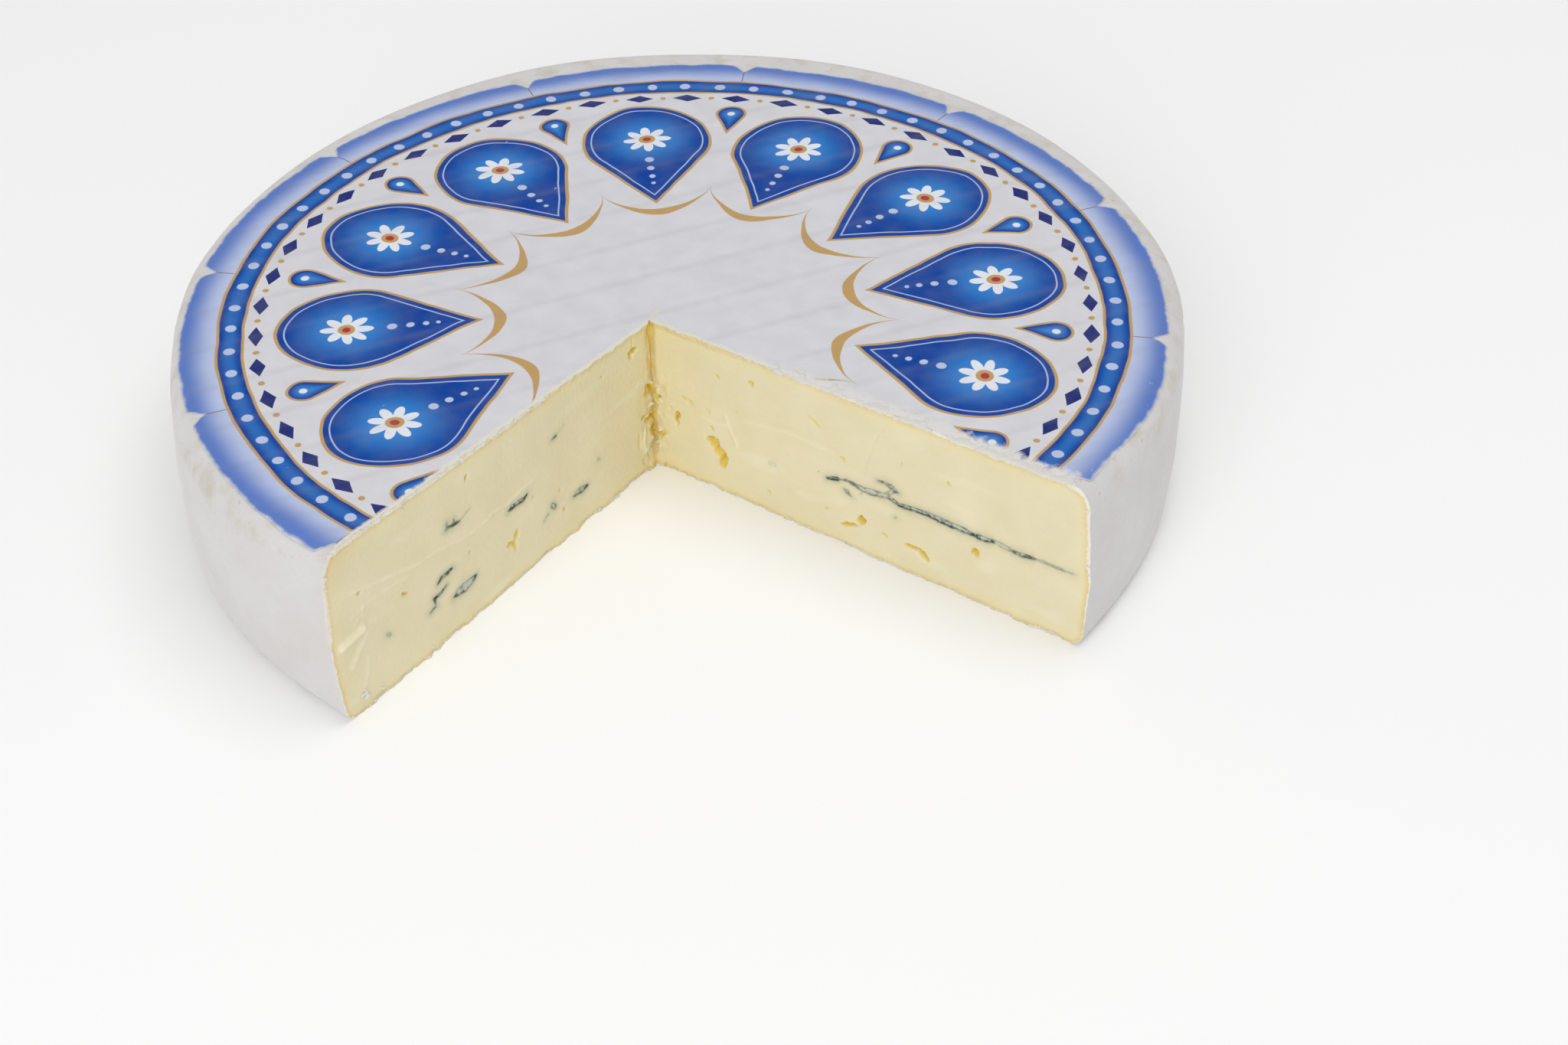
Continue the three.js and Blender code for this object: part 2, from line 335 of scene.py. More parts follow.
def lay_label(wheel):
    """A round sheet of paper that follows the top of the cheese."""
    start_clean()
    bpy.ops.mesh.primitive_circle_add(vertices=LABEL_SPOKES, radius=1.0, fill_type="TRIFAN")
    label = bpy.context.object
    label.name = "printed_label"
    bpy.ops.object.mode_set(mode="EDIT")
    bpy.ops.mesh.select_mode(type="EDGE")
    select_edges(label, lambda a, b: abs(a.length - b.length) > 0.5)
    bpy.ops.mesh.subdivide(number_cuts=LABEL_RINGS - 1)
    bpy.ops.object.mode_set(mode="OBJECT")
    x, y, _ = read_points(label).T
    share, angle = np.hypot(x, y), np.arctan2(y, x)
    share = share * (1 + RING_CROWDING - RING_CROWDING * share)
    angle = angle - SPOKE_CROWDING / SECTORS * np.sin(SECTORS * (angle - FIRST_NOTCH))
    pulled_in = (LABEL_RADIUS - label_edge(angle)) * smooth_step(0.9, 1, share)
    radius = share * LABEL_RADIUS - pulled_in
    x, y = radius * np.cos(angle), radius * np.sin(angle)
    write_points(label, np.column_stack([x, y, np.full_like(x, 2 * WHEEL_HEIGHT)]))
    drop = label.modifiers.new("drop", "SHRINKWRAP")
    drop.target = wheel
    drop.wrap_method = "PROJECT"
    drop.use_project_z = True
    drop.use_positive_direction = False
    drop.use_negative_direction = True
    apply_modifiers(label)
    points = read_points(label)
    along_crease = x * math.cos(CREASE_TURN) + y * math.sin(CREASE_TURN)
    over_crease = y * math.cos(CREASE_TURN) - x * math.sin(CREASE_TURN)
    stretched = np.column_stack([along_crease * 0.28, over_crease, np.zeros_like(x)])
    creases = CREASE_HEIGHT * roughness_at(stretched, 11 * MM, 21)
    creases = creases + 0.12 * MM * roughness_at(points, 6 * MM, 22)
    creases = creases * smooth_step(1 * MM, 9 * MM, from_cuts(points))
    points[:, 2] += LABEL_LIFT + np.maximum(creases, -0.02 * MM)
    write_points(label, points)
    return label


label = lay_label(wheel)
print("label before the cut:", triangles(label), "triangles")

# %% [markdown]
# ## What the knife opened
#
# A ripe blue cheese isn't solid. Small eyes and tears show where the knife passed, and blue
# mould lines the seams and the channels where needles let in air. Each is given as a place on a
# cut face: how far along it from the inner corner, and how high above the base, in millimetres.
# Holes have a width, height, depth and tilt. Mould is a line that swells and narrows, so each
# point of it has a half width too. Knife marks are low ridges and furrows.

# %% Eyes, mould and knife marks on the two faces
RIGHT["eyes"] = [
    # along, up, width, height, depth, tilt in degrees
    (17.4, 13.3, 4.0, 3.2, 2.6, -25), (19.2, 11.2, 4.2, 2.9, 2.4, -25), (20.3, 8.9, 2.4, 4.8, 2.4, -14),
    (6.8, 17.6, 1.9, 1.7, 2.0, -10), (6.4, 15.7, 1.1, 3.0, 1.6, 4), (16.9, 17.8, 1.5, 0.9, 1.0, -30),
    (18.9, 33.7, 1.0, 1.0, 1.0, 0), (28.8, 35.7, 1.7, 1.1, 1.4, -38), (8.6, 23.4, 1.3, 0.9, 0.9, -30),
    (10.3, 22.9, 3.2, 0.9, 0.6, -18), (16.0, 22.6, 1.5, 0.7, 0.7, -30), (24.6, 25.6, 0.7, 0.7, 0.4, 0),
    (4.3, 19.2, 2.4, 0.8, 0.7, -20), (34.2, 5.7, 0.9, 0.7, 0.7, 0), (55.1, 24.4, 1.8, 0.9, 0.9, -25),
    (46.8, 31.9, 4.6, 1.1, 0.6, -28), (84.0, 29.4, 0.9, 0.8, 0.9, -30), (61.3, 8.9, 2.4, 2.5, 2.2, 15),
    (58.2, 6.6, 5.0, 1.1, 1.4, 20), (68.0, 7.7, 1.7, 1.2, 1.0, -20), (75.6, 7.8, 3.6, 1.2, 1.9, 4),
    (79.0, 6.6, 3.8, 1.5, 2.1, -32), (92.6, 13.4, 2.0, 2.3, 2.0, 10), (51.1, 8.4, 0.9, 0.8, 0.7, 0),
    (48.5, 17.9, 0.7, 0.7, 0.6, 0), (71.3, 29.7, 0.7, 1.4, 0.5, 0), (1.0, 9.2, 2.0, 1.4, 1.4, 0),
    (0.6, 20.4, 2.0, 2.8, 1.4, 30), (1.6, 9.8, 2.0, 1.5, 0.9, 0),
]
LEFT["eyes"] = [
    (6.5, 37.8, 3.6, 1.9, 1.9, 4), (7.5, 36.8, 1.2, 2.2, 1.4, -6), (18.3, 36.9, 1.2, 0.7, 0.8, 20),
    (66.5, 36.6, 0.9, 2.0, 1.2, 12), (103.4, 28.2, 1.3, 0.9, 0.9, 0), (90.7, 19.5, 2.2, 0.9, 0.9, 30),
    (53.3, 12.2, 1.8, 3.5, 1.0, 18), (55.5, 10.9, 3.6, 1.3, 0.9, 10), (54.3, 9.7, 1.4, 2.8, 0.8, 6),
    (35.8, 8.6, 1.0, 1.2, 0.8, -20), (36.7, 15.0, 0.8, 1.4, 0.6, 10), (46.3, 18.7, 1.6, 0.7, 0.4, 30),
    (69.0, 17.1, 1.0, 0.8, 0.5, 30), (60.0, 22.2, 0.8, 0.6, 0.4, 0), (42.1, 7.5, 0.8, 0.8, 0.4, 0),
    (1.0, 23.2, 3.4, 3.4, 1.6, 0), (1.5, 15.0, 5.0, 1.5, 1.6, 10), (0.7, 10.6, 2.6, 3.4, 1.0, 0),
    (6.9, 40.2, 0.5, 3.8, 0.6, -4), (6.2, 10.2, 0.9, 5.0, 0.6, 6), (2.8, 4.4, 0.7, 3.4, 0.6, -18),
    (4.8, 3.2, 0.7, 3.6, 0.5, -18), (1.0, 38.5, 1.7, 7.0, 0.5, 2), (1.0, 31.0, 1.2, 6.0, 0.6, -3),
    (3.4, 16.6, 2.6, 1.2, 1.5, -8), (4.6, 11.6, 0.8, 4.6, 0.5, 14),
]
RIGHT["mould_lines"] = [
    # darkness, then along, up and half width at each point of the line
    (0.95, [(50.9, 17.2, 0.10), (52.6, 17.8, 0.40), (54.0, 18.2, 0.45)]),
    (0.70, [(54.6, 18.4, 0.12), (56.8, 18.9, 0.30), (59.2, 18.4, 0.42), (61.4, 18.1, 0.62),
        (64.8, 18.5, 0.74), (67.6, 18.9, 0.55), (69.4, 18.7, 0.30)]),
    (1.00, [(69.4, 18.7, 0.30), (71.3, 18.0, 0.40), (74.1, 18.3, 0.48), (77.3, 18.5, 0.42),
        (79.5, 18.7, 0.56), (82.3, 18.5, 0.70), (88.6, 18.4, 0.62), (91.6, 18.2, 0.36)]),
    (1.00, [(92.9, 18.2, 0.58), (94.9, 18.4, 0.58), (97.1, 18.8, 0.34)]),
    (0.35, [(97.8, 18.8, 0.45), (98.9, 18.7, 0.66), (100.5, 18.5, 0.60), (101.1, 18.5, 0.28)]),
    (0.90, [(101.1, 18.5, 0.28), (103.4, 18.3, 0.44), (106.4, 18.5, 0.40), (108.4, 18.8, 0.18)]),
    (0.40, [(108.4, 18.8, 0.20), (110.8, 18.8, 0.28), (114.0, 18.8, 0.30), (118.5, 19.0, 0.10)]),
    (0.80, [(65.2, 22.4, 0.08), (66.9, 22.6, 0.34), (68.5, 22.3, 0.62), (69.6, 21.6, 0.62),
        (70.9, 21.3, 0.12)]),
    (0.45, [(69.2, 21.0, 0.50), (67.5, 19.3, 0.55)]),
    (0.75, [(56.0, 16.0, 0.12), (56.7, 15.6, 0.42), (58.1, 14.8, 0.10)]),
    (0.40, [(60.6, 16.7, 0.16), (60.8, 16.8, 0.16)]), (0.45, [(70.5, 14.0, 0.20), (70.7, 14.1, 0.20)]),
    (0.14, [(34.4, 14.6, 0.60), (35.6, 14.7, 0.60)]),
]
LEFT["mould_lines"] = [
    (1.00, [(75.3, 27.3, 0.10), (74.3, 27.6, 0.28), (72.5, 27.3, 0.36), (70.4, 27.1, 0.12)]),
    (0.90, [(74.5, 29.0, 0.08), (74.6, 27.8, 0.22)]), (0.90, [(72.3, 28.6, 0.08), (72.2, 27.3, 0.22)]),
    (0.25, [(70.4, 27.1, 0.10), (67.0, 28.4, 0.10)]),
    (1.00, [(54.7, 19.9, 0.08), (53.4, 20.3, 0.40), (51.5, 20.2, 0.52), (49.4, 20.0, 0.34),
        (48.1, 20.6, 0.08)]),
    (0.75, [(39.2, 11.5, 0.50), (39.9, 12.3, 0.60)]), (0.35, [(41.7, 10.9, 0.20), (43.7, 9.9, 0.08)]),
    (0.80, [(37.7, 30.1, 0.08), (36.6, 30.2, 0.30), (35.6, 30.4, 0.08)]),
    (0.22, [(35.6, 30.4, 0.10), (33.0, 31.8, 0.10)]),
    (0.90, [(32.1, 10.0, 0.15), (30.3, 10.1, 0.66), (28.5, 10.0, 0.76), (26.7, 10.0, 0.15)]),
    (1.00, [(80.5, 15.7, 0.10), (78.9, 16.5, 0.34), (76.9, 16.6, 0.34), (75.3, 16.8, 0.10)]),
    (1.00, [(84.4, 10.1, 0.08), (82.4, 10.7, 0.20), (82.5, 12.8, 0.22), (80.1, 12.9, 0.22),
        (77.9, 13.8, 0.08)]),
    (0.90, [(76.6, 9.3, 0.15), (74.7, 9.6, 0.80), (72.7, 9.7, 1.15), (70.6, 9.8, 0.90),
        (68.4, 10.3, 0.15)]),
    (0.45, [(97.6, 12.7, 0.42), (98.1, 13.2, 0.42)]), (0.32, [(21.5, 14.5, 0.25), (22.1, 15.0, 0.25)]),
    (0.25, [(43.1, 9.8, 0.20), (43.7, 10.2, 0.20)]),
]
RIGHT["knife_marks"] = [
    # rise, half width, then the points that the mark runs through
    (0.32, 0.50, [(21.3, 22.9), (22.5, 19.9), (24.4, 16.5), (24.7, 15.0)]),
    (0.22, 0.60, [(14.0, 20.0), (18.0, 19.6), (21.3, 20.4)]),
    (-0.20, 0.32, [(61.5, 23.0), (62.0, 26.6), (63.0, 30.1), (64.2, 34.0), (66.2, 37.8)]),
    (0.16, 0.70, [(27.0, 24.0), (40.0, 26.0), (52.0, 25.2)]),
]
LEFT["knife_marks"] = [
    (0.26, 0.40, [(82.1, 24.2), (77.3, 23.8), (68.7, 21.9), (62.5, 22.1), (58.9, 22.7),
        (54.8, 22.3), (50.1, 23.1), (45.5, 23.3)]),
    (0.24, 0.50, [(105.8, 29.6), (98.9, 27.8), (89.8, 25.6), (84.0, 24.2)]),
    (0.30, 0.80, [(109.9, 12.3), (106.9, 14.9), (103.4, 17.6)]),
    (0.90, 0.90, [(111.4, 18.6), (107.9, 18.9), (104.6, 19.4)]),
    (0.16, 0.40, [(108.4, 5.0), (106.0, 8.4), (104.6, 12.0)]),
    (0.20, 0.35, [(107.2, 23.6), (101.0, 24.6), (94.0, 24.0), (88.0, 23.2)]),
    (0.18, 0.35, [(106.8, 21.4), (103.8, 23.0), (103.0, 26.0)]),
    (0.35, 0.80, [(4.0, 12.0), (4.6, 9.0), (3.8, 6.4)]),
    (0.12, 0.30, [(27.7, 24.2), (21.9, 25.0), (16.0, 25.4), (11.8, 25.4)]),
    (0.12, 0.30, [(8.3, 25.6), (5.4, 26.8), (3.9, 27.6)]),
]
for kind in ("eyes", "mould_lines", "knife_marks"):
    print(kind, "on the right and left face:", len(RIGHT[kind]), len(LEFT[kind]))

# %% [markdown]
# ## Shape of a cut face
#
# A knife leaves a face that is nearly flat. Soft cheese then sags outwards at the base, most at
# the rim, where nothing holds it. On top of that come shallow waves and drag marks of the blade,
# the holes, and the crumbly edge of the rind. All of it is one function: how far a place on a
# face stands out towards the gap. The same places give the colours later.

# %% Shape of a cut face
KNIFE_WAVE = 0.26 * MM
DRAG_MARK = 0.06 * MM
GRAIN_SIZE = 0.065 * MM
RAGGED_SIZE = 0.7 * MM
RAGGED_DEPTH = 2.0 * MM
SEAM_GROOVE = 0.45 * MM
TORN_SIZE = 1.1 * MM
TORN_REACH = 2.6 * MM


def turned_offset(along, up, centre_along, centre_up, tilt):
    """Places relative to a centre, in millimetres and turned by a tilt."""
    a = along / MM - centre_along
    b = up / MM - centre_up
    turn = math.radians(tilt)
    return a * math.cos(turn) + b * math.sin(turn), b * math.cos(turn) - a * math.sin(turn)


def hole_depth(face, along, up, wobble):
    """How deep the eyes of one face are at each place, deepest under their upper edge."""
    depth = np.zeros_like(along)
    for at_along, at_up, width, height, deep, tilt in face["eyes"]:
        a, b = turned_offset(along, up, at_along, at_up, tilt)
        away = (np.abs(a / (width / 2)) ** 1.4 + np.abs(b / (height / 2)) ** 1.4) ** (1 / 1.4)
        away = away + 0.55 * wobble
        bowl = smooth_step(1.2, 0.7, away)
        under_edge = np.clip(0.8 + 0.5 * b / (height / 2), 0.35, 1.25)
        depth = np.maximum(depth, deep * MM * bowl * under_edge)
    return depth


def line_edge(a, b, points):
    """How far each place is from the edge of a line that swells and narrows."""
    nearest = np.full(a.shape, 9.0)
    for (a0, b0, half0), (a1, b1, half1) in zip(points, points[1:]):
        step_a, step_b = a1 - a0, b1 - b0
        share = ((a - a0) * step_a + (b - b0) * step_b) / (step_a ** 2 + step_b ** 2)
        share = np.clip(share, 0, 1)
        away = np.hypot(a - a0 - share * step_a, b - b0 - share * step_b)
        nearest = np.minimum(nearest, away - half0 - share * (half1 - half0))
    return nearest


def mould_field(face, along, up, wobble):
    """The distance in millimetres to the edge of the nearest mould, negative inside it, and
    how dark that mould is."""
    edge = np.full(along.shape, 9.0)
    tone = np.zeros(along.shape)
    for darkness, points in face["mould_lines"]:
        away = line_edge(along / MM, up / MM, points) + 0.3 * wobble
        tone = np.where(away < edge, darkness, tone)
        edge = np.minimum(edge, away)
    return edge, tone


def knife_relief(face, along, up, wobble):
    """How far the knife marks of one face rise, in metres."""
    rise = np.zeros_like(along)
    for height, half, points in face["knife_marks"]:
        away = line_edge(along / MM, up / MM, [(a, b, 0) for a, b in points]) + 0.4 * wobble
        rise = rise + height * MM * np.exp(-(away / half) ** 2)
    return rise


def face_noise(face, along, up):
    """Places for a face's noise, coarse and fine noise there, and how far both shift a border."""
    flat = np.column_stack([along, up, np.full_like(along, face["seed"] * 10 * MM)])
    coarse = roughness_at(flat, 2.2 * MM, 6)
    fine = roughness_at(flat, 0.9 * MM, 7)
    return flat, coarse, fine, 0.6 * coarse + 0.5 * fine


def stands_out(face, along, up):
    """How far a place on a face stands out towards the gap."""
    flat, coarse, fine, wobble = face_noise(face, along, up)
    low_share = np.clip(1 - up / WHEEL_HEIGHT, 0, 1)
    sag = face["sag"] * (along / WHEEL_RADIUS) * low_share ** SAG_POWER
    wave = KNIFE_WAVE * roughness_at(flat * [0.4, 1, 1], 12 * MM, 3)
    drag = DRAG_MARK * roughness_at(flat * [0.08, 1, 1], 0.9 * MM, 4)
    grain = GRAIN_SIZE * roughness_at(flat, 1.1 * MM, 5)
    broad = roughness_at(flat, 6.5 * MM, 13)
    points = face_points(face, along, up, np.zeros_like(along))
    near_rind = smooth_step(RAGGED_DEPTH, 0, under_skin(points))
    ragged = RAGGED_SIZE * near_rind * (0.8 * coarse + 0.35 * fine + broad * (up < WHEEL_HEIGHT / 2))
    holes = hole_depth(face, along, up, wobble)
    edge, tone = mould_field(face, along, up, wobble)
    groove = SEAM_GROOVE * smooth_step(0.15, -0.45, edge) * tone
    calm = smooth_step(0, 3 * MM, along)
    at_torn = smooth_step(2 * MM, 7 * MM, up) * smooth_step(31 * MM, 25 * MM, up)
    at_torn = at_torn * np.exp(-along / TORN_REACH) * smooth_step(0, 0.9 * MM, along)
    torn = TORN_SIZE * at_torn * (roughness_at(flat, 1.9 * MM, 12) + 0.4 * fine)
    relief = sag + wave + drag + grain + ragged + knife_relief(face, along, up, wobble)
    return relief * calm + torn - holes - groove - SLIT_WIDTH / 2


def face_points(face, along, up, out):
    """Points on a cut face, from their place on it and how far they stand out."""
    angle = face["angle"]
    out = face["towards_gap"] * out
    return np.column_stack([
        SLIT[0] + along * math.cos(angle) - out * math.sin(angle),
        SLIT[1] + along * math.sin(angle) + out * math.cos(angle),
        up,
    ])


# %% [markdown]
# ## The knife's sheet
#
# The gap could be cut with a plain wedge, but the holes would then need a cut each. Here one
# fine sheet is folded along the inner corner, so that its halves become the two faces with all
# their relief, and its edge is drawn out to one far point. That closes it to a solid that fills
# the missing quarter. The inner corner itself is a slit, because the two strokes of the knife
# crossed there and ran a little too far. At its foot the soft paste has closed again.

# %% Fold the sheet
SHEET_COLUMNS = 680
SHEET_ROWS = 116
SHEET_MARGIN = 2 * MM
CLOSE_COLUMNS = 0.72
FAR_OUT = 0.9
SLIT_OPEN = [
    # up, half width, depth
    (0, 3.2, -1.3), (2, 2.4, -0.8), (4, 1.2, 0.0), (8, 0.6, 0.7), (12, 0.7, 1.1), (14, 0.3, 0.6),
    (17, 0.6, 0.9), (20, 0.15, 0.2), (22, 0.5, 1.0), (24, 0.2, 0.2), (26, 0.3, 0.3), (29, 0.6, 0.9),
    (32, 0.35, 0.5), (35, 0.5, 0.8), (41, 0.62, 1.0), (50, 0.62, 1.0),
]


def fold_sheet():
    """A fine grid folded into the shape of both cut faces."""
    start_clean()
    bpy.ops.mesh.primitive_grid_add(x_subdivisions=SHEET_COLUMNS, y_subdivisions=SHEET_ROWS, size=2)
    sheet = bpy.context.object
    sheet.name = "knife_sheet"
    across, over, _ = read_points(sheet).T
    share = np.abs(across)
    along = CUT_REACH * (CLOSE_COLUMNS * share + (1 - CLOSE_COLUMNS) * share ** 2)
    up = (over + 1) / 2 * (WHEEL_HEIGHT + 2 * SHEET_MARGIN) - SHEET_MARGIN
    points = np.zeros((len(along), 3))
    for face, side in ((LEFT, across <= 0), (RIGHT, across > 0)):
        out = stands_out(face, along[side], up[side])
        points[side] = face_points(face, along[side], up[side], out)
    side = np.where(across > 0, 40 * MM, 0)
    ragged = roughness_at(np.column_stack([up, side, up * 0]), 2.6 * MM, 8)
    fine = roughness_at(np.column_stack([up, along + side, up * 0]), 1.0 * MM, 9)
    heights, halves, depths = np.array(SLIT_OPEN).T
    deep = np.interp(up / MM, heights, depths) * MM
    width = np.interp(up / MM, heights, halves) * MM * (1 + 1.3 * ragged + 0.7 * fine)
    width = np.maximum(width, 0.15 * MM)
    into_slit = smooth_step(1.15, 0.1, along / width) * deep
    points[:, :2] -= into_slit[:, None] * direction_of(MIDDLE_ANGLE)
    write_points(sheet, points)
    return sheet


def close_sheet(sheet):
    """Draws the sheet's edge up and down, then out to one far point."""
    choose(sheet)
    bpy.ops.object.mode_set(mode="EDIT")
    bpy.ops.mesh.select_mode(type="EDGE")
    bpy.ops.mesh.select_all(action="SELECT")
    bpy.ops.mesh.region_to_loop()
    bpy.ops.mesh.extrude_edges_move()
    bpy.ops.transform.resize(value=(1, 1, 2.2), center_override=(0, 0, WHEEL_HEIGHT / 2))
    bpy.ops.mesh.extrude_edges_move()
    bpy.ops.transform.translate(value=(*FAR_OUT * direction_of(MIDDLE_ANGLE), 0))
    bpy.ops.mesh.merge(type="CENTER")
    bpy.ops.mesh.select_all(action="SELECT")
    bpy.ops.mesh.normals_make_consistent(inside=False)
    bpy.ops.object.mode_set(mode="OBJECT")


knife_sheet = fold_sheet()
close_sheet(knife_sheet)
print("knife sheet:", triangles(knife_sheet), "triangles")

# %% [markdown]
# ## Colours and nodes
#
# Colours are written as sRGB hex values, as a colour picker gives them, and one function turns
# them to the linear values that Blender works in. Another feeds the inputs of a node, and a third
# adds a node with its settings and links and hands back the output that the next node needs.

# %% Helpers for materials
def linear(hex_colour):
    """An sRGB hex colour as linear red, green, blue and alpha."""
    values = [int(hex_colour[i:i + 2], 16) / 255 for i in (1, 3, 5)]
    return [v / 12.92 if v <= 0.04045 else ((v + 0.055) / 1.055) ** 2.4 for v in values] + [1]


def feed(node, inputs):
    """Gives a node's inputs their values, or links them to the outputs of other nodes."""
    pairs = inputs.items() if isinstance(inputs, dict) else enumerate(inputs)
    for key, value in pairs:
        if isinstance(value, bpy.types.NodeSocket):
            node.id_data.links.new(value, node.inputs[key])
        else:
            node.inputs[key].default_value = value


def add_node(tree, kind, inputs=(), output=0, **settings):
    """Adds a node to a tree with its settings and links, and returns one of its outputs."""
    node = tree.nodes.new("ShaderNode" + kind)
    for name, value in settings.items():
        setattr(node, name, value)
    feed(node, inputs)
    return node.outputs[output]


def new_material(name):
    """A material, its Principled shader and the function that adds nodes to its tree."""
    material = bpy.data.materials.new(name)
    material.use_nodes = True
    tree = material.node_tree
    return material, tree.nodes["Principled BSDF"], partial(add_node, tree)


def lay_colours(add, hex_colour, layers):
    """Starts from one colour and lays others over it, each where its mask is 1."""
    colour = linear(hex_colour)
    for mask, over in layers:
        colour = add("Mix", {0: mask, 6: colour, 7: linear(over)}, 2, data_type="RGBA")
    return colour


# %% [markdown]
# ## Bloomy rind
#
# The rind is white mould, grown as a velvet over the whole outside and patted flat by hand. It
# is matt and scatters light among its fine threads, so it has no highlight, only a soft sheen
# at grazing angles. Under it, small tan specks and faint clouds show, more of them near the top
# edge. The down's true threads are far too thin to show, so the bump is drawn at half a
# millimetre, which reads as velvet. The base keeps the crossed grooves of the wire rack that the
# cheese ripened on.

# %% Bloomy rind
RACK_SPACING = 15.8
RACK_WIRE = 2.2
RACK_TURN = math.radians(-24.5)
RACK_SHIFT = 1.2


def groove_distance(add, place, axis):
    """How far a place is from the nearest of the rack's parallel wires, in metres."""
    turned = add("VectorRotate", {"Vector": place, "Angle": RACK_TURN}, rotation_type="Z_AXIS")
    along = add("SeparateXYZ", [turned], axis)
    moved = add("Math", [along, RACK_SHIFT * MM], operation="ADD")
    return add("Math", [moved, RACK_SPACING / 2 * MM], operation="PINGPONG")


def rack_marks(add, place, height):
    """How high the base stands between the grooves that the wires of the rack pressed in."""
    marks = 1.0
    for axis in (0, 1):
        away = groove_distance(add, place, axis)
        stands = add("MapRange", [away, 0.0, RACK_WIRE * MM, 0.0, 1.0], interpolation_type="SMOOTHSTEP")
        marks = add("Math", [stands, marks], operation="MINIMUM")
    on_base = add("MapRange", [height, 0.2 * MM, 1.5 * MM, 0.0, 1.0])
    return add("Math", [marks, on_base], operation="MAXIMUM")


def make_bloomy_rind():
    """White mould rind, grown and patted flat."""
    material, shader, add = new_material("bloomy_rind")
    place = add("TexCoord", output=3)
    height = add("SeparateXYZ", [place], 2)
    noises = {}
    sizes = {"clouds": 17, "stains": 6, "specks": 1.7, "dimples": 2.6, "velvet": 0.55}
    for name, size in sizes.items():
        noises[name] = add("TexNoise", {"Vector": place, "Scale": 1 / (size * MM), "Detail": 4.0})
    cloud_share = add("MapRange", [noises["clouds"], 0.35, 0.68, 0.0, 1.0])
    near_top = add("MapRange", [height, 33 * MM, 39 * MM, 0.12, 1.0])
    stain = add("MapRange", [noises["stains"], 0.48, 0.72, 0.0, 0.85])
    stain = add("Math", [stain, near_top], operation="MULTIPLY")
    speck = add("MapRange", [noises["specks"], 0.66, 0.76, 0.0, 0.8])
    speck = add("Math", [speck, near_top], operation="MULTIPLY")
    colour = lay_colours(add, "#D2D0CF", [
        (cloud_share, "#CCC9C6"), (stain, "#C0B9AB"), (speck, "#B5A888"),
    ])
    fine = add("Bump", {"Strength": 0.5, "Distance": 0.1 * MM, "Height": noises["velvet"]})
    bumps = add(
        "Bump",
        {"Strength": 0.6, "Distance": 0.4 * MM, "Height": noises["dimples"], "Normal": fine},
    )
    marks = rack_marks(add, place, height)
    bumps = add("Bump", {"Strength": 0.8, "Distance": 0.7 * MM, "Height": marks, "Normal": bumps})
    feed(shader, {
        "Base Color": colour, "Normal": bumps, "Roughness": 0.86,
        "Sheen Weight": 0.25, "Sheen Roughness": 0.6,
        "Subsurface Weight": 0.15, "Subsurface Radius": (1.0, 0.9, 0.8), "Subsurface Scale": 1.2 * MM,
    })
    return material


# %% [markdown]
# ## Ripened paste
#
# Inside, the curd has ripened to a pale, moist cream. It lets light in for a few millimetres, so
# its shadows are warm and soft. Nearer the rind it is riper and more ochre, and the rind itself
# shows as a white line. The holes are painted a deep yellow as painted light, for the light that
# bounces about in them, and a darker ochre where they are deepest, as painted shade. The
# mould is a pale grey-green bed between thin dark lips, and it melts into the paste as a soft
# halo. The mesh says how far each point is from rind, hole and mould, and fine noise breaks up
# each border.

# %% Ripened paste
PASTE_READS = ("under_rind", "lemon", "ripe", "hollow", "mould_edge", "mould_tone", "smear")


def mould_layers(add, read, shift, veins):
    """Halo, lips and pale bed of the blue mould, as masks and colours."""
    mould = add("Math", [shift, 0.3, read["mould_edge"]], operation="MULTIPLY_ADD")
    far = add("MapRange", [mould, 0.0, 3.6, 1.0, 0.0])
    halo = add("Math", [far, 3.5], operation="POWER")
    halo = add("Math", [halo, 0.72], operation="MULTIPLY")
    outer = add("MapRange", [mould, 0.3, 0.0, 0.0, 1.0])
    inner = add("MapRange", [mould, -0.17, -0.34, 1.0, 0.0])
    dark = add("MapRange", [veins, 0.36, 0.56, 0.35, 1.0])
    lips = add("Math", [outer, inner], operation="MULTIPLY")
    lips = add("Math", [lips, dark], operation="MULTIPLY")
    bed = add("MapRange", [mould, -0.05, -0.3, 0.0, 0.95])
    pale = add("MapRange", [veins, 0.42, 0.6, 0.8, 0.0])
    pale = add("Math", [bed, pale], operation="MULTIPLY")
    streaks = add("MapRange", [veins, 0.54, 0.64, 0.0, 0.6])
    streaks = add("Math", [bed, streaks], operation="MULTIPLY")
    layers = []
    for mask, colour in (
        (halo, "#9CA38A"), (bed, "#A5ABA0"), (pale, "#CDD0C4"), (streaks, "#59604F"), (lips, "#363E33"),
    ):
        toned = add("Math", [mask, read["mould_tone"]], operation="MULTIPLY")
        layers.append((toned, colour))
    return layers


